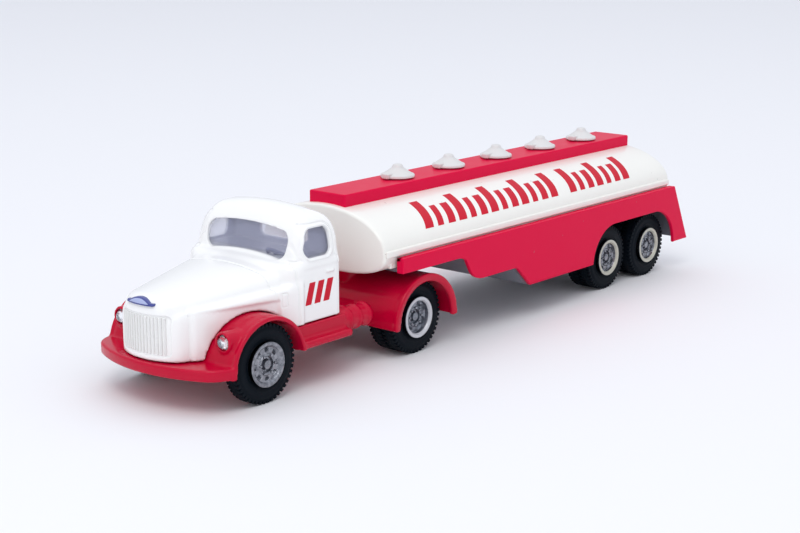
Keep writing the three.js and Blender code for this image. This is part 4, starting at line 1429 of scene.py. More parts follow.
@dataclass
class Cab(Assembly):
    """The white cab shell with its bonnet, grille, doors and window frames.

    Attributes:
        back: Rear face.
        cowl: Front of the cowl.
        screen: Foot of the windscreen.
        half: Half the width.
        sill: Height of the window sill.
        roof: Height of the roof's crown.
        wall: Thickness of the shell.
        bow_centre: Centre of the grille's bow along X.
        bow: Radius of that bow.
        foot: Lower edge of the shell.
        arch_reach: Radius of the cut over the front wheel.
        arch_top: Height up to which the shell ends at the wheel opening.
        screen_pane: The windscreen, Y and Z.
        door_pane: A door's window, X and Z.
        rear_pane: The rear window, Y and Z.
        door_leaf: A door below its window, X and Z.
        door_head: A door's frame round its window, X and Z.
        vent_frame: The vent on a side of the cowl, X and Z.
        grille_field: The field of ribs, Y and Z.
        badge_foot: The straight foot of the badge, Y and Z.
        rib_count: Number of ribs.
        rib_sweep: Angle from the first rib to the last.
    """

    back: float = 58.6
    cowl: float = 77.8
    screen: float = 74.9
    half: float = 20.3
    sill: float = 33.1
    roof: float = 46.3
    wall: float = 1.1
    bow_centre: float = 93.1
    bow: float = 18.2
    foot: float = 12.6
    arch_reach: float = 13.5
    arch_top: float = 17.1
    screen_pane: Panel = Panel((-15, 15), (34.3, 41.6), 2.8)
    door_pane: Panel = Panel((62.5, 71.9), (33.9, 41.3), 2.0)
    rear_pane: Panel = Panel((-9, 9), (34.7, 40.5), 1.8)
    door_leaf: Panel = Panel((60.3, 75.3), (10, 33.4), 0.8)
    door_head: Panel = Panel((61.2, 73.6), (32.4, 42.4), 3.0)
    vent_frame: Panel = Panel((78.6, 80.4), (22.8, 26.3), 0.3)
    grille_field: Panel = Panel((-8.9, 8.9), (13.9, 24.3), 1.4)
    badge_foot: Panel = Panel((-4.9, 4.9), (26.6, 27.3), 0.3)
    rib_count: int = 15
    rib_sweep: float = 0.86

    def greenhouse(self, p: Points) -> np.ndarray:
        """The upper cab: walls that lean in and a domed roof.

        Args:
            p: Points, one a row.

        Returns:
            Distances to it, negative inside.
        """
        x, y, z = p.T
        rise = np.maximum(z - self.sill, -1.0)
        front = self.screen - 0.271 * rise
        walls = plan_box(x, y, self.back + 0.03 * rise, front, self.half - 0.2 - 0.114 * rise, (2.4, 4.2))
        crown = z - self.roof + 0.0055 * y ** 2 + 0.009 * (x - 65.5) ** 2
        return np.maximum(soft_meet(walls, crown, 6.5), self.sill - 1.3 - z)

    def lower(self, p: Points) -> np.ndarray:
        """The lower cab with its round cowl."""
        x, y, z = p.T
        plan = plan_box(x, y, self.back, self.cowl, self.half, (2.0, 4.4))
        return soft_meet(plan, z - self.sill, 3.2)

    def bonnet(self, p: Points) -> np.ndarray:
        """The bonnet: a raised hood between lower shoulders, and the bowed grille shell.

        Args:
            p: Points, one a row.

        Returns:
            Distances to it, negative inside.
        """
        x, y, z = mirrored(p).T
        share = (x - 78.3) / 35
        half = 19.9 - 7.9 * share
        crown = 32.7 - 4.6 * share
        ledge = 24.6 + 0.3 * share
        inset = 0.6 * np.clip((ledge + 0.4 - z) / 0.6, 0, 1) * np.clip((x - 80.6) / 0.8, 0, 1)
        side = y - half + inset
        hood_half = half - 2.9
        hood = soft_meet(z - crown + 2.0 * (y / hood_half) ** 2, y - hood_half, 3.6)
        shoulder = soft_meet(z - crown + 5.0 - 1.8 * share, side, 2.0)
        body = soft_union(hood, shoulder, 0.8)
        reach = np.sqrt(self.bow ** 2 - np.minimum(y, 15) ** 2)
        plan = (x - self.bow_centre - reach) * reach / self.bow
        cheeks = y - 12.4 - 3 * np.maximum(105.04 - x, 0)
        front = rounded_meet(plan, cheeks, 2.6)
        return np.maximum(soft_meet(front, body, 3.6), 74 - x)

    def closed(self, p: Points) -> np.ndarray:
        """The outside of the cab without its openings, running on below."""
        body = soft_union(self.lower(p), self.greenhouse(p), 1.2)
        return soft_union(body, self.bonnet(p), 1.6)

    def screen_line(self, p: Points) -> np.ndarray:
        """Signed distances to the windscreen's outline, far from it 9.

        Args:
            p: Points, one a row.

        Returns:
            One distance for each point.
        """
        half = 14.5 + 0.11 * (p[:, 2] - 33.6)
        foot = 0.006 * p[:, 1] ** 2
        line = self.screen_pane.line(p[:, 1] * 15 / np.maximum(half, 5), p[:, 2] + foot)
        return np.where(p[:, 0] > 69, line, 9.0)

    def side_line(self, p: Points) -> np.ndarray:
        """Signed distances to the door window's outline, far from it 9."""
        back = self.door_pane.u[0]
        along = back + (p[:, 0] - back) * (1 + 0.04 * np.clip(p[:, 2] - 36.5, 0, 6))
        return np.where(np.abs(p[:, 1]) > 14.5, self.door_pane.line(along, p[:, 2]), 9.0)

    def rear_line(self, p: Points) -> np.ndarray:
        """Signed distances to the rear window's outline, far from it 9."""
        return np.where(p[:, 0] < 62.6, self.rear_pane.line(p[:, 1], p[:, 2]), 9.0)

    def door_line(self, p: Points) -> np.ndarray:
        """Distances to the doors' outline and the seams beside them.

        Args:
            p: Points, one a row.

        Returns:
            One distance for each point.
        """
        x, y, z = p.T
        line = np.abs(soft_union(self.door_leaf.line(x, z), self.door_head.line(x, z), 0.8))
        return np.where(np.abs(y) > 15.5, line, 9.0)

    def bonnet_seam(self, p: Points) -> np.ndarray:
        """Distances to the seam across the back of the bonnet and the one behind the grille shell."""
        across = np.where((p[:, 2] > 24.8) & (p[:, 0] > 79), np.abs(p[:, 0] - 81.6), 9.0)
        shell = np.where((p[:, 2] < 25.2) & (p[:, 0] > 98), np.abs(p[:, 0] - 105.1), 9.0)
        return np.minimum(across, shell)

    def vent(self, p: Points) -> np.ndarray:
        """Distances to the small vent on each side of the cowl."""
        return np.where(np.abs(p[:, 1]) > 15.5, np.abs(self.vent_frame.line(p[:, 0], p[:, 2])), 9.0)

    def grille_line(self, p: Points) -> np.ndarray:
        """Signed distances to the grille's field of ribs, far from it 9."""
        return np.where(p[:, 0] > 103, self.grille_field.line(p[:, 1], p[:, 2]), 9.0)

    def side_at(self, x: float, z: float) -> float:
        """How far out the cab's side is at a place."""
        reach = np.linspace(19, 21.5, 251)
        spots = np.stack([np.full(251, x), reach, np.full(251, z)], 1)
        return float(reach[np.argmax(self.closed(spots) > 0)])

    def shape(self, p: Points) -> np.ndarray:
        """Distances to the shell.

        Args:
            p: Points, one a row.

        Returns:
            Distances to it, negative inside.
        """
        x, y, z = p.T
        outside = self.closed(p)
        skin = groove(outside, np.minimum(self.door_line(p), self.bonnet_seam(p)), 0.22)
        skin = groove(skin, self.vent(p), 0.16)
        skin = bead(skin, self.side_line(p) - 0.55, 0.24)
        skin = bead(skin, self.rear_line(p) - 0.5, 0.24)
        recess = np.maximum(self.grille_line(p), -(outside + 0.34))
        skin = soft_cut(skin, recess, 0.3)
        q = mirrored(p)
        handle = block(q, (61.9, 19.6, 29.3), (64.9, 20.85, 30.1), 0.35)
        skin = soft_union(skin, handle, 0.3)
        shell = np.maximum(skin, -(outside + self.wall))
        openings = np.minimum.reduce([self.screen_line(p), self.side_line(p), self.rear_line(p)])
        shell = soft_cut(shell, openings, 0.3)
        front_rivet, rear_rivet = CAB_RIVETS
        posts = [
            np.maximum(rod(p, Axis.Z, (front_rivet, 0, 0), 2.2, (self.foot, self.sill)), outside),
            rod(p, Axis.Z, (rear_rivet, 0, 0), 2.2, (self.arch_top, self.sill - 1)),
        ]
        whole = np.minimum.reduce([shell, *posts])
        whole = np.maximum(whole, self.foot - z)
        whole = np.maximum(whole, -np.maximum(x - FRONT_ARCH[0], z - self.arch_top))
        return np.maximum(whole, self.arch_reach - np.hypot(x - FRONT_ARCH[0], z - FRONT_ARCH[1]))

    def detail(self, p: Points) -> np.ndarray:
        """Distances to everything fine on the shell.

        Args:
            p: Points, one a row.

        Returns:
            One distance for each point.
        """
        lines = [np.abs(self.screen_line(p) - 0.4), np.abs(self.side_line(p) - 0.4),
                 np.abs(self.rear_line(p) - 0.4), self.door_line(p), self.bonnet_seam(p), self.vent(p),
                 np.abs(self.grille_line(p))]
        return np.minimum.reduce(lines) - 0.35

    def ribs(self) -> Mesh:
        """The upright ribs of the grille, following its bow.

        Returns:
            The ribs' mesh.
        """
        x = self.bow_centre + self.bow - 0.42
        rib = bevelled(brick((x - 0.5, -0.27, 14.3), (x + 0.5, 0.27, 23.9)), 0.22, 3)
        return self.shop.rings.repeat(rib, self.rib_count, self.shop.paint.mix(GRILLE_WHITE), (0, 0, 1),
                                      (self.bow_centre, 0, 0), self.rib_sweep, -self.rib_sweep / 2)

    def badge(self, margin: float, rise: float) -> Mesh:
        """A plain plate that follows the bonnet's round front edge.

        Args:
            margin: How far its outline is drawn in.
            rise: Height of its face over the bonnet.

        Returns:
            The mesh.
        """
        def shape(p: Points) -> np.ndarray:
            """Distances to the badge."""
            foot = self.badge_foot.line(p[:, 1], p[:, 2])
            arch = np.maximum(np.hypot(p[:, 1], p[:, 2] - 21.9) - 6.5, self.badge_foot.v[0] - p[:, 2])
            outline = np.minimum(foot, arch) + margin
            sheet = np.abs(self.closed(p) - rise / 2) - rise / 2
            return np.maximum(rounded_meet(sheet, outline, 0.1), 104 - p[:, 0])
        return Skin(shape, (104, -5.6, 25.4), (112, 5.6, 29.6), 0.13 * COARSE).mesh("badge")

    def build(self) -> None:
        """Makes the shell, the ribs and the badge."""
        low, high = node_box("cab_shell")
        skin = Skin(self.shape, low - 0.5, high + 0.6, 0.445 * COARSE, self.detail, 0.45)
        self.shop.add("cab_casting", skin.mesh("cab"), CAB_WHITE, "tractor", "cab_white", "cab_shell")
        self.shop.add("grille_ribs", self.ribs(), GRILLE_WHITE, "tractor", "cab_white")
        self.shop.add("badge_plate", self.badge(0, 0.5), BADGE_BLUE, "tractor", "badge_blue", "bonnet_badge")
        self.shop.add("badge_face", self.badge(0.35, 0.62), BADGE_PALE, "tractor", "badge_blue")


@dataclass
class CabFittings(Assembly):
    """Windows, seats, steering wheel, lamps and rivets of the tractor.

    Attributes:
        cab: The cab they sit in.
        chassis: The casting that holds the lamps.
        wheel_place: Centre of the steering wheel.
        wheel_tilt: Its lean from level.
        facets: Facets round a lamp's jewel.
    """

    cab: Cab
    chassis: TractorChassis
    wheel_place: tuple[float, float, float] = (68.8, 6.5, 32.9)
    wheel_tilt: float = 0.6
    facets: int = 12

    def glazing(self) -> Mesh:
        """The clear moulding behind all the windows.

        Returns:
            The mesh.
        """
        def shape(p: Points) -> np.ndarray:
            """Distances to the moulding."""
            band = np.abs(self.cab.greenhouse(p) + 1.8) - 0.4
            level = np.abs(p[:, 2] - 36.95) - 4.65
            return rounded_meet(band, level, 0.15)
        low, high = node_box("cab_glazing")
        return Skin(shape, low, high, 0.4 * COARSE).mesh("glazing")

    def seats(self) -> Mesh:
        """The interior moulding: floor, bench, back rest and dash.

        Returns:
            The mesh.
        """
        def shape(p: Points) -> np.ndarray:
            """Distances to the moulding."""
            half = 16.2
            back, front = 65.6, 75.4
            foot = self.cab.arch_top
            cushion = block(p, (back, -half, foot), (back + 6.5, half, foot + 6.5), 1.2)
            rest = block(p, (back, -half, foot), (back + 1.6, half, foot + 12), 0.7)
            seam = np.abs(np.abs(p[:, 1]) - 5.2)
            bench = groove(soft_union(cushion, rest, 1.0), seam, 0.35)
            floor = block(p, (back, -half, foot), (front, half, foot + 1), 0.2)
            dash = block(p, (front - 2.2, -half, foot), (front, half, foot + 13.2), 0.8)
            dial = rod(p, Axis.X, (0, 6.5, 28.2), 1.2, (72.8, 74.0), 0.2)
            return np.minimum.reduce([bench, floor, soft_union(dash, dial, 0.2)])
        low, high = node_box("cab_interior")
        return Skin(shape, low - 0.4, high + 0.1, 0.4 * COARSE).mesh("seats")

    def steering_wheel(self) -> Mesh:
        """The steering wheel with three spokes and its column.

        Returns:
            The mesh.
        """
        cosine, sine = math.cos(self.wheel_tilt), math.sin(self.wheel_tilt)

        def shape(p: Points) -> np.ndarray:
            """Distances to the wheel."""
            x, y, z = (p - np.array(self.wheel_place)).T
            u, w = x * cosine + z * sine, z * cosine - x * sine
            flat = np.stack([u, y, w], 1)
            rim = np.hypot(np.hypot(u, y) - 3.0, w) - 0.4
            whole = np.minimum(rim, rod(flat, Axis.Z, (0, 0, 0), 0.9, (-0.5, 0.5), 0.25))
            whole = np.minimum(whole, rod(flat, Axis.Z, (0, 0, 0), 0.5, (-2.0, 0.0)))
            for i in range(3):
                angle = math.pi / 2 + i * math.tau / 3
                along = u * math.cos(angle) + y * math.sin(angle)
                across = y * math.cos(angle) - u * math.sin(angle)
                spoke = block(np.stack([along, across, w], 1), (0, -0.28, -0.22), (3, 0.28, 0.22), 0.15)
                whole = soft_union(whole, spoke, 0.25)
            return whole
        low, high = node_box("steering_wheel")
        return Skin(shape, low, high, 0.16 * COARSE).mesh("steering wheel")

    def jewel(self, side: Side) -> Mesh:
        """A faceted lamp facing forward.

        Args:
            side: The side it is on.

        Returns:
            The mesh.
        """
        profile = [(1.72, 0.0), (1.75, 0.5), (1.2, 1.15), (0.6, 1.42)]
        y, z = self.chassis.lamp_place
        rings = []
        for number, (radius, height) in enumerate(profile):
            turn = math.pi / self.facets * (number % 2)
            angles = [math.tau * i / self.facets + turn for i in range(self.facets)]
            rings.append(np.array([
                (100.7 + height, side.value * y + radius * math.cos(a), z + radius * math.sin(a))
                for a in angles
            ]))
        mesh = loft("jewel", rings)
        mesh.shade_flat()
        return mesh

    def reflector(self, side: Side) -> Mesh:
        """The bright seat behind a jewel.

        Args:
            side: The side it is on.

        Returns:
            The mesh.
        """
        disc = turned("seat", [(0, 0.0), (1.9, 0.0), (1.95, 0.2), (1.9, 0.28), (0, 0.24)], 32)
        disc.transform(Matrix.Rotation(-math.pi / 2, 4, "Z"))
        y, z = self.chassis.lamp_place
        return moved(disc, (100.4, side.value * y, z))

    def build(self) -> None:
        """Makes and places the fittings."""
        add = self.shop.add
        add("window_moulding", self.glazing(), CLEAR, "tractor", "clear_plastic", "cab_glazing")
        add("cab_seats", self.seats(), INTERIOR, "tractor", "interior_grey", "cab_interior")
        add("cab_steering", self.steering_wheel(), NAVY, "tractor", "interior_navy", "steering_wheel")
        for side in Side:
            add(f"lamp_jewel_{side.word}", self.jewel(side), JEWEL, "tractor", "jewel_clear",
                f"headlight_{side.word}")
            add(f"lamp_seat_{side.word}", self.reflector(side), PLATED, "tractor", "hub_chrome")
        for place in ("front", "rear"):
            node = f"cab_rivet_{place}"
            add(f"{node}_shown", bevelled(node_copy(node), 0.25), STEEL, "tractor", "steel", node)


# ---- wheels
@dataclass(frozen=True)
class WheelForm:
    """What differs from one kind of wheel to another.

    Attributes:
        dish: How far out the disc stands.
        holes: Hand holes in the disc.
        nuts: Wheel nuts.
        disc: Finish of the disc.
        ring: Finish of the painted ring on the rim; None for no ring.
    """

    dish: float
    holes: int
    nuts: int
    disc: Finish
    ring: Finish | None


class Rim(Enum):
    """The kinds of wheel: bare at the front, grey at the drive axle, cream on the trailer."""

    CAST = WheelForm(-0.6, 8, 6, PLATED, None)
    GREY = WheelForm(-1.7, 6, 8, DULL_PLATED, RIM_GREY)
    CREAM = WheelForm(-1.3, 6, 6, PLATED, RIM_CREAM)


@dataclass
class AxleSet(Assembly):
    """One axle with its hubs and tyres.

    Attributes:
        label: How the nodes are named.
        body: The body that turns.
        joint: The joint it turns on.
        rows: Tyres on each side.
        rim: Kind of its wheels.
        face: Outer face of the wheels along Y.
        tyre_radius: Outer radius of a tyre.
        tyre_width: Width of a tyre.
        tyre_pitch: From one tyre of a pair to the other.
        blocks: Tread blocks round a tyre.
    """

    label: str
    body: str
    joint: str
    rows: int
    rim: Rim
    face: float = 23.4
    tyre_radius: float = 10.5
    tyre_width: float = 4.5
    tyre_pitch: float = 4.65
    blocks: int = 46

    def placed(self, mesh: Mesh, side: Side) -> Mesh:
        """A wheel part made on the origin, put on its side of the axle."""
        x, _, z = joint_place(self.joint)
        turn = 0.0 if side is Side.LEFT else math.pi
        return moved(mesh, (x, side.value * self.face, z), turn)

    def tyre(self, row: int) -> Mesh:
        """A tyre with a ringed sidewall and two rows of tread blocks.

        Args:
            row: 0 for the outer tyre of a pair, 1 for the inner.

        Returns:
            The mesh, round the origin.
        """
        start = -0.9 - row * self.tyre_pitch
        end = start - self.tyre_width
        r = self.tyre_radius
        wall = [(5.55, 0.75), (6.0, 0.35), (6.9, 0.16), (7.2, 0.02), (7.5, 0.16), (8.4, 0.04), (9.0, 0.12),
                (9.15, 0.26), (9.6, 0.3), (10.0, 0.5), (10.25, 0.85)]
        outer = [(radius, start - depth) for radius, depth in wall]
        inner = [(radius, end + depth) for radius, depth in reversed(wall)]
        crown = [(r - 0.12, start - 1.75), (r - 0.05, start - 2.0), (r - 0.05, end + 2.0),
                 (r - 0.12, end + 1.75)]
        body = turned("tyre", [*outer, *crown, *inner], 96)
        block_mesh = bevelled(brick((9.5, start - 1.6, -0.44), (r - 0.06, start - 0.2, 0.44)), 0.14, 2)
        other = bevelled(brick((9.5, end + 0.2, -0.44), (r - 0.06, end + 1.6, 0.44)), 0.14, 2)
        rubber = self.shop.paint.mix(RUBBER)
        first = self.shop.rings.repeat(block_mesh, self.blocks, rubber)
        second = self.shop.rings.repeat(other, self.blocks, rubber, start=math.pi / self.blocks)
        return joined("tyre", [body, first, second])

    def relief(self, radius: float, angle: float, number: int) -> float:
        """Hand holes of the wheel's disc.

        Args:
            radius: Distance from the middle.
            angle: Angle round it.
            number: Number of the profile's point.

        Returns:
            How far the disc is moved outwards.
        """
        if not 3.2 < radius < 4.45:
            return 0.0
        wave = math.cos(self.rim.value.holes * angle)
        depth = 0.75 * max(0.0, min(1.0, (wave - 0.1) / 0.35))
        return -depth * max(0.0, 1 - abs(radius - 3.8) / 0.62)

    def disc_profile(self) -> list[Pair]:
        """The hub's section from its middle out over the rim and back along the barrel.

        Returns:
            Radius and place along Y of each point.
        """
        width = 0.9 + (self.rows - 1) * self.tyre_pitch + self.tyre_width + 0.8
        dish = self.rim.value.dish
        boss = dish + 0.45
        face = [(0.0, boss), (0.8, boss - 0.02), (1.15, boss - 0.15), (1.3, dish - 0.5), (1.55, dish - 0.75),
                (1.95, dish - 0.7), (2.1, dish + 0.1), (2.3, dish + 0.25), (2.7, dish + 0.22), (2.85, dish)]
        face += [(radius, dish - 0.05) for radius in np.arange(3.0, 4.5, 0.12)]
        rim = [(4.55, dish), (4.8, -0.3), (4.95, -0.08), (5.2, 0.0), (5.65, 0.0), (5.85, -0.1), (5.9, -0.3),
               (5.8, -0.55), (5.45, -0.62)]
        back = [(5.3, -0.8), (5.3, -width + 0.6), (5.85, -width + 0.45), (5.85, -width), (1.1, -width),
                (0.0, -width)]
        return face + rim + back

    def nuts(self) -> Mesh:
        """The ring of wheel nuts.

        Returns:
            The nuts' mesh, round the origin.
        """
        radius = 2.5
        seat = self.rim.value.dish + 0.25
        profile = [(0, seat + 0.42), (0.22, seat + 0.42), (0.34, seat + 0.3), (0.36, seat - 0.1),
                   (0, seat - 0.1)]
        nut = moved(turned("nut", profile, 12), (radius, 0, 0))
        return self.shop.rings.repeat(nut, self.rim.value.nuts, self.shop.paint.mix(PLATED))

    def rim_ring(self) -> Mesh:
        """The painted ring on the rim of a drive or trailer wheel."""
        profile = [(4.62, -0.55), (4.84, -0.22), (4.98, -0.02), (5.2, 0.03), (5.62, 0.03), (5.78, -0.03),
                   (5.7, -0.2), (4.9, -0.5)]
        return turned("rim", profile, 96)

    def build(self) -> None:
        """Makes and places every part of the axle."""
        add = self.shop.add
        hub = turned("hub", self.disc_profile(), 96, self.relief)
        form = self.rim.value
        for side in Side:
            where = f"{self.label}_hub_{side.word}"
            add(f"{where}_disc", self.placed(hub, side), form.disc, self.body, "hub_chrome", where)
            add(f"{where}_nuts", self.placed(self.nuts(), side), PLATED, self.body, "hub_chrome")
            if form.ring:
                add(f"{where}_rim", self.placed(self.rim_ring(), side), form.ring, self.body, "hub_chrome")
            for row in range(self.rows):
                word = ("_outer", "_inner")[row] if self.rows > 1 else ""
                node = f"{self.label}_tyre_{side.word}{word}"
                tyre = self.placed(self.tyre(row), side)
                add(f"{node}_tread", tyre, RUBBER, self.body, "tyre_rubber", node)
        node = f"{self.label}_axle"
        low, high = node_box(node)
        rod_mesh = turned("rod", [(0, low[1]), (0.6, low[1]), (0.8, low[1] + 0.2), (0.8, high[1] - 0.2),
                                  (0.6, high[1]), (0, high[1])], 32)
        x, _, z = joint_place(self.joint)
        add(f"{node}_rod", moved(rod_mesh, (x, 0, z)), STEEL, self.body, "steel", node)


# ---- trailer
@dataclass
class Tank(Assembly):
    """The cream tank with its side ribs, the walkway and the hatches.

    Attributes:
        half: Half the width of the tank.
        middle: Height of its middle line.
        crown: Middle line to the top.
        belly: Middle line to the bottom.
        ledge: Where the tank is cut off over the base plate.
        ledge_front: Where that cut ends.
        corner: Radius of the edge round the ends.
        rib_z: Lower and upper edge of the side ribs.
        ledge_end: Front end of the ledges under the ribs.
        ledge_top: Their upper edge.
        hatches: Number of hatches.
        hatch_radius: Radius of a hatch's foot.
    """

    half: float = 23.0
    middle: float = 30.9
    crown: float = 11.0
    belly: float = 7.4
    ledge: float = 26.1
    ledge_front: float = 40.1
    corner: float = 0.9
    rib_z: Pair = (29.5, 31.5)
    ledge_end: float = 41.3
    ledge_top: float = 30.2
    hatches: int = 5
    hatch_radius: float = 5.0

    def __post_init__(self) -> None:
        """Takes the tank's ends from the frame."""
        low, high = node_box("tank_shell")
        self.rear, self.front = low[0], high[0]

    def section(self, x: float, inset: float) -> Points:
        """The tank's outline at x, drawn in by inset.

        Args:
            x: Place along the tank.
            inset: How far it is drawn in.

        Returns:
            The outline's points.
        """
        points = []
        for angle in np.linspace(0, math.tau, 160, endpoint=False):
            c, s = math.cos(angle), math.sin(angle)
            if s >= 0:
                y, z = (self.half - inset) * c, self.middle + (self.crown - inset) * s
            else:
                y = (self.half - inset) * math.copysign(abs(c) ** (2 / 3), c)
                z = self.middle - (self.belly - inset) * abs(s) ** (2 / 3)
            points.append((x, y, max(z, self.ledge) if x < self.ledge_front else z))
        return np.array(points)

    def rings_at(self, end: float, inward: int) -> list[Pair]:
        """Places and insets that round off an end.

        Args:
            end: Place of the end.
            inward: 1 or -1, towards the middle.

        Returns:
            Place and inset of each ring.
        """
        steps = np.linspace(0, math.pi / 2, 7)
        return [(end + inward * self.corner * (1 - math.sin(a)), self.corner * (1 - math.cos(a)))
                for a in steps[::-1]]

    def shell(self) -> Mesh:
        """The tank with its ribs and ledges.

        Returns:
            The mesh.
        """
        spots = self.rings_at(self.rear, 1)
        spots += [(x, 0.0) for x in np.linspace(self.rear + 6, self.ledge_front - 0.01, 12)]
        spots += [(self.ledge_front + 0.01, 0.0)]
        spots += self.rings_at(self.front, -1)[::-1]
        tank = loft("tank", [self.section(x, inset) for x, inset in spots])
        low, high = self.rib_z
        rib = bevelled(brick((self.rear + 0.6, -self.half - 0.6, low),
                             (self.front - 0.5, self.half + 0.6, high)), 0.45, 4)
        ledge = bevelled(brick((self.rear + 1, 0.6 - self.half, self.ledge),
                               (self.ledge_end, self.half - 0.6, self.ledge_top)), 0.4, 3)
        return joined("tank", [tank, rib, ledge])

    def walkway(self) -> Mesh:
        """The raised walkway along the top."""
        low, high = node_box("walkway")
        plank = brick((low[0], low[1], self.middle + 8), tuple(high))
        return bevelled(plank, 0.45, 4)

    def hatch(self) -> Mesh:
        """A domed hatch with its lug, standing on the origin.

        Returns:
            The mesh.
        """
        r = self.hatch_radius
        profile = [(0, 0), (r - 0.25, 0), (r, 0.15), (r, 0.65), (4.85, 0.85), (4.5, 0.98), (4.2, 1.1),
                   (3.4, 1.6), (2.6, 2.15), (1.95, 2.6), (1.65, 2.95), (1.5, 3.35), (1.2, 3.68), (0.7, 3.8),
                   (0, 3.8)]
        dome = upright(turned("dome", profile, 64), (0, 0, 0))
        lug = bevelled(brick((2.0, -1.3, 0.0), (6.0, 1.3, 1.6)), 0.45, 3)
        return joined("hatch", [dome, lug])

    def build(self) -> None:
        """Makes the tank and what stands on it."""
        add = self.shop.add
        add("tank_casting", self.shell(), TANK_CREAM, "trailer", "tank_cream", "tank_shell")
        add("walkway_moulding", self.walkway(), TRAILER_RED, "trailer", "trailer_red", "walkway")
        for number in range(1, self.hatches + 1):
            low = node_box(f"hatch_{number}")[0]
            mesh = moved(self.hatch(), (low[0] + self.hatch_radius, 0, low[2]))
            add(f"hatch_{number}_dome", mesh, HATCH_WHITE, "trailer", "cab_white", f"hatch_{number}")


@dataclass
class Undercarriage(Assembly):
    """The trailer's skirts, base plate, kingpin and rivets.

    Attributes:
        top: Upper edge of the skirts.
        deck: Lower edge at the coupling.
        step: Lower edge behind the tractor.
        low: Lower edge ahead of the wheels.
        foot: Lower edge at the tail.
        swing: Where the skirt starts to come down.
        wall: Thickness of a skirt.
        tail: Rear end of the skirts' upper edge.
        flange: Inner and outer side of the flange along the upper edge.
        arch_radius: Radius of the wheel openings.
        arch_z: Height of their middle.
    """

    top: float = 29.2
    deck: float = 24.9
    step: float = 17.2
    low: float = 10.6
    foot: float = 9.9
    swing: float = 15.7
    wall: float = 1.2
    tail: float = -103.2
    flange: Pair = (23.3, 24.6)
    arch_radius: float = 12.4
    arch_z: float = 9.7

    def arc(self, centre: float, start: float, end: float) -> list[Pair]:
        """Points of a wheel opening from one angle to another."""
        return [(centre + self.arch_radius * math.cos(a), self.arch_z + self.arch_radius * math.sin(a))
                for a in np.linspace(start, end, 33)]

    @staticmethod
    def curve(a: Place, b: Place, c: Place) -> list[Pair]:
        """Points of a quadratic curve from a, drawn towards b, to c.

        Args:
            a: The start.
            b: The point it is drawn towards.
            c: The end.

        Returns:
            The points.
        """
        a, b, c = (np.array(p) for p in (a, b, c))
        steps = np.linspace(0, 1, 9)
        return [tuple((1 - t) ** 2 * a + 2 * t * (1 - t) * b + t * t * c) for t in steps]

    def outline(self) -> list[Pair]:
        """Side view of a skirt, X and Z.

        Returns:
            The outline's points.
        """
        low, high = node_box("skirt_left")
        first = joint_place("trailer_front_wheels_roll")[0]
        second = joint_place("trailer_rear_wheels_roll")[0]
        s = self.swing
        end = math.asin((self.low - self.arch_z) / self.arch_radius)
        points = [(high[0], self.top), (self.tail, self.top), (low[0], self.foot),
                  (second - self.arch_radius - 0.4, self.foot)]
        points += self.arc(second, math.pi, math.pi / 2)
        points += self.arc(first, math.pi / 2, end)
        points += [(s - 35.6, self.low), (s - 29.5, self.step - 0.8)]
        points += self.curve((s - 29.5, self.step - 0.8), (s - 28.8, self.step), (s - 27.6, self.step))[1:]
        points += self.curve((s - 11.5, self.step), (s - 7.6, self.step + 0.4), (s - 6, self.step + 3.2))
        points += [(s - 4, self.deck - 1.1)]
        points += self.curve((s - 4, self.deck - 1.1), (s - 2.6, self.deck), (s, self.deck))[1:]
        points += [(high[0], self.deck)]
        return points

    def skirt(self, side: Side) -> Mesh:
        """One skirt with its flange and closed front end.

        Args:
            side: The side it is on.

        Returns:
            The mesh.
        """
        low, high = node_box(f"skirt_{side.word}")
        outer = max(abs(low[1]), abs(high[1]))
        ends = sorted((side.value * (outer - self.wall), side.value * outer))
        sheet = bevelled(slab("skirt", self.outline(), Axis.Y, tuple(ends)), 0.3, 3, 32)
        y0, y1 = sorted(side.value * y for y in self.flange)
        flange = bevelled(brick((self.tail + 0.2, y0, self.top - 1), (high[0], y1, self.top)), 0.15, 2)
        end = bevelled(brick((high[0] - self.wall, y0, self.deck), (high[0], y1, self.top)), 0.15, 2)
        return joined("skirt", [sheet, flange, end])

    def build(self) -> None:
        """Makes the pieces under the tank."""
        add = self.shop.add
        for side in Side:
            node = f"skirt_{side.word}"
            add(f"{node}_panel", self.skirt(side), TRAILER_RED, "trailer", "trailer_red", node)
        add("base_moulding", bevelled(node_copy("base_plate"), 0.2, 2), DARK_BASE, "trailer", "base_dark",
            "base_plate")
        for node in ("kingpin", "trailer_rivet_front", "trailer_rivet_rear"):
            add(f"{node}_pin", bevelled(node_copy(node), 0.2), STEEL, "trailer", "steel", node)


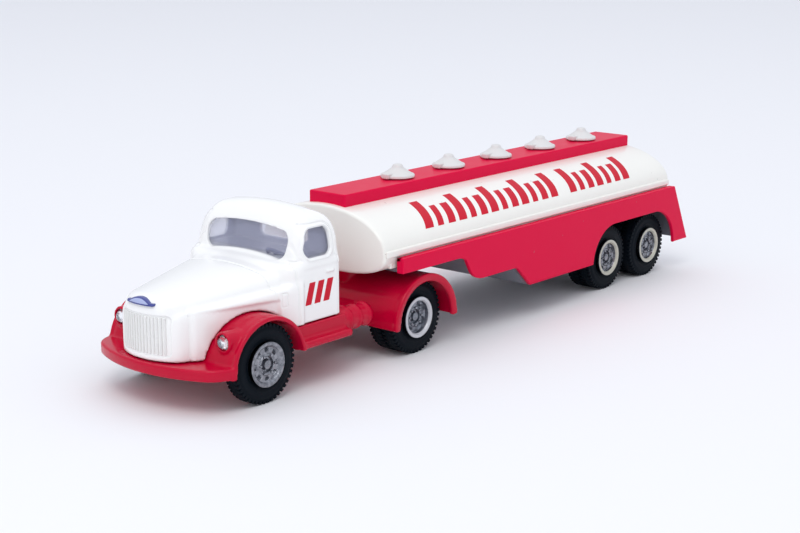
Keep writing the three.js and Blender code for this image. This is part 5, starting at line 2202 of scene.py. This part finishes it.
# ---- printed decoration
@dataclass
class Livery(Assembly):
    """Plain slanted bars printed on the tank's sides and on the doors.

    Attributes:
        tank: The tank they lie on.
        cab: The cab they lie on.
        slant: Lean of the tank's bars, along X for each step up.
        film: Thickness of the print.
        groups: Place of the first bar and number of bars in each group along the tank.
        pitch: From one bar on the tank to the next.
        foot: Lower end of the tank's bars.
        widths: Widths of the tank's bars, in turn.
        rises: Heights of the tank's bars, in turn.
        door_x: Places of the bars on a door.
        door_z: Lower and upper end of the bars on a door.
    """

    tank: Tank
    cab: Cab
    slant: float = 0.7
    film: float = 0.05
    groups: tuple[tuple[float, int], ...] = ((23.5, 13), (-48.0, 7))
    pitch: float = 5.1
    foot: float = 34.7
    widths: tuple[float, ...] = (3.6, 2.6, 3.2)
    rises: tuple[float, ...] = (5.6, 4.4, 4.4)
    door_x: tuple[float, ...] = (64.9, 68.3, 71.7)
    door_z: Pair = (21.8, 27.6)

    def tank_y(self, z: float) -> float:
        """The tank's half width at a height."""
        return self.tank.half * math.sqrt(max(0.0, 1 - ((z - self.tank.middle) / self.tank.crown) ** 2))

    def bar(self, side: Side, x: float, width: float, z0: float, z1: float,
            surface: Callable[[float], float], slant: float) -> Mesh:
        """One slanted bar lying on a curved side.

        Args:
            side: The side of the vehicle.
            x: Middle of the bar's foot.
            width: Its width.
            z0: Its foot.
            z1: Its head.
            surface: Distance of the side from the middle plane at a height.
            slant: Lean of the bar, along X for each step up.

        Returns:
            The mesh.
        """
        rings = []
        for z in np.linspace(z0, z1, 15):
            lean = -slant * (z - z0)
            y = side.value * surface(z)
            out = side.value * self.film
            under = -side.value * 0.4
            a, b = x + lean - width / 2, x + lean + width / 2
            rings.append(np.array([
                (a, y + under, z), (b, y + under, z), (b, y + out, z), (a, y + out, z)
            ]))
        return loft("bar", rings)

    def tank_bars(self, side: Side) -> Mesh:
        """Two groups of bars along the tank.

        Args:
            side: The side they are on.

        Returns:
            The mesh.
        """
        bars = []
        for start, count in self.groups:
            for i in range(count):
                top = self.foot + self.rises[i % 3]
                bars.append(self.bar(side, start - self.pitch * i, self.widths[i % 3], self.foot, top,
                                     self.tank_y, self.slant))
        return joined("tank bars", bars)

    def door_bars(self, side: Side) -> Mesh:
        """Three bars on a door.

        Args:
            side: The side they are on.

        Returns:
            The mesh.
        """
        bars = [self.bar(side, x, 2.2, *self.door_z, lambda z: self.cab.side_at(67, z), 0.3)
                for x in self.door_x]
        return joined("door bars", bars)

    def build(self) -> None:
        """Makes the printed pieces."""
        add = self.shop.add
        for side in Side:
            add(f"tank_print_{side.word}", self.tank_bars(side), PRINT_RED, "trailer", "trailer_red")
            add(f"door_print_{side.word}", self.door_bars(side), PRINT_RED, "tractor", "chassis_red")


# ---- studio
@dataclass
class Studio:
    """Floor, lights and camera.

    Attributes:
        eye: Place of the camera, in millimetres.
        heading: Direction it looks, in degrees from +X.
        dip: How far it looks down, in degrees.
        lens: Focal length, in millimetres.
        reach: Half the width of the floor, in millimetres.
    """

    eye: tuple[float, float, float] = (355.6, 291.4, 125.2)
    heading: float = -139.79
    dip: float = 13.36
    lens: float = 70.4
    reach: float = 30000

    def camera(self) -> None:
        """Sets the camera up."""
        data = bpy.data.cameras.new("camera")
        data.lens = self.lens
        data.sensor_width = 36
        data.clip_start, data.clip_end = 0.01, 60
        made = bpy.data.objects.new("camera", data)
        bpy.context.scene.collection.objects.link(made)
        yaw, pitch = math.radians(self.heading), math.radians(self.dip)
        look = Vector((math.cos(pitch) * math.cos(yaw), math.cos(pitch) * math.sin(yaw), -math.sin(pitch)))
        made.rotation_euler = look.to_track_quat("-Z", "Y").to_euler()
        made.location = Vector(self.eye) * MM
        bpy.context.scene.camera = made

    def floor(self) -> None:
        """Lays a pale floor."""
        r = self.reach
        corners = [(-r, -r, 0), (r, -r, 0), (r, r, 0), (-r, r, 0)]
        mesh = mesh_of("floor", corners, [(0, 1, 2, 3)], smooth=False)
        paper = bpy.data.materials.new("paper")
        paper.use_nodes = True
        shader = paper.node_tree.nodes["Principled BSDF"]
        fill(shader, {"Base Color": (0.88, 0.88, 0.89, 1), "Roughness": 0.75, "Specular IOR Level": 0.15})
        piece("floor", mesh, paper)

    @staticmethod
    def lamp(name: str, place: Place, size: float, power: float, colour: Colour) -> None:
        """A square lamp that faces the vehicle.

        Args:
            name: Its name.
            place: Its place, in metres.
            size: Its width, in metres.
            power: Its power, in watts.
            colour: Its colour.
        """
        data = bpy.data.lights.new(name, "AREA")
        data.size = size
        data.energy = power
        data.color = colour
        made = bpy.data.objects.new(name, data)
        bpy.context.scene.collection.objects.link(made)
        made.location = Vector(place)
        aim = Vector((0, 0, 0.02)) - Vector(place)
        made.rotation_euler = aim.to_track_quat("-Z", "Y").to_euler()

    def build(self) -> None:
        """Sets up the whole studio."""
        scene = bpy.context.scene
        scene.view_settings.view_transform = "Standard"
        world = bpy.data.worlds.new("studio")
        world.use_nodes = True
        self.sky(world.node_tree)
        scene.world = world
        self.floor()
        self.lamp("key", (0.55, 0.35, 0.95), 0.45, 2.5, (1.0, 0.985, 0.96))
        self.lamp("top", (-0.25, -0.25, 1.1), 0.9, 0.8, (0.95, 0.97, 1.0))
        self.lamp("front", (1.1, 0.15, 0.35), 0.5, 0.5, (1.0, 1.0, 1.0))
        self.camera()

    @staticmethod
    def sky(tree: bpy.types.NodeTree) -> None:
        """A pale tent of light, brighter above than round the sides.

        Args:
            tree: The world's node tree.
        """
        background = tree.nodes["Background"]
        fill(background, {"Color": (0.89, 0.92, 1.0, 1)})
        direction = tree.nodes.new("ShaderNodeTexCoord")
        parts = tree.nodes.new("ShaderNodeSeparateXYZ")
        tree.links.new(direction.outputs["Generated"], parts.inputs[0])
        strength = tree.nodes.new("ShaderNodeMapRange")
        fill(strength, {"From Min": 0, "To Min": 0.6, "To Max": 1.14})
        tree.links.new(parts.outputs["Z"], strength.inputs["Value"])
        tree.links.new(strength.outputs["Result"], background.inputs["Strength"])


def main() -> None:
    """Builds every sub-assembly in order and then the studio."""
    logging.basicConfig(level=logging.INFO, format="%(message)s")
    shop = Workshop(PaintShop(), RingTree())
    chassis = TractorChassis(shop)
    cab = Cab(shop)
    tank = Tank(shop)
    assemblies = [
        chassis,
        cab,
        CabFittings(shop, cab, chassis),
        AxleSet(shop, "front", "front_axle_set", "front_wheels_roll", 1, Rim.CAST),
        AxleSet(shop, "drive", "drive_axle_set", "drive_wheels_roll", 2, Rim.GREY),
        tank,
        Undercarriage(shop),
        AxleSet(shop, "trailer_front", "trailer_front_axle_set", "trailer_front_wheels_roll", 2, Rim.CREAM),
        AxleSet(shop, "trailer_rear", "trailer_rear_axle_set", "trailer_rear_wheels_roll", 2, Rim.CREAM),
        Livery(shop, tank, cab),
        Studio(),
    ]
    for assembly in assemblies:
        assembly.build()
        log.info("built %s", type(assembly).__name__)
    log.info("%d pieces", len(shop.made))


if __name__ == "__main__":
    main()
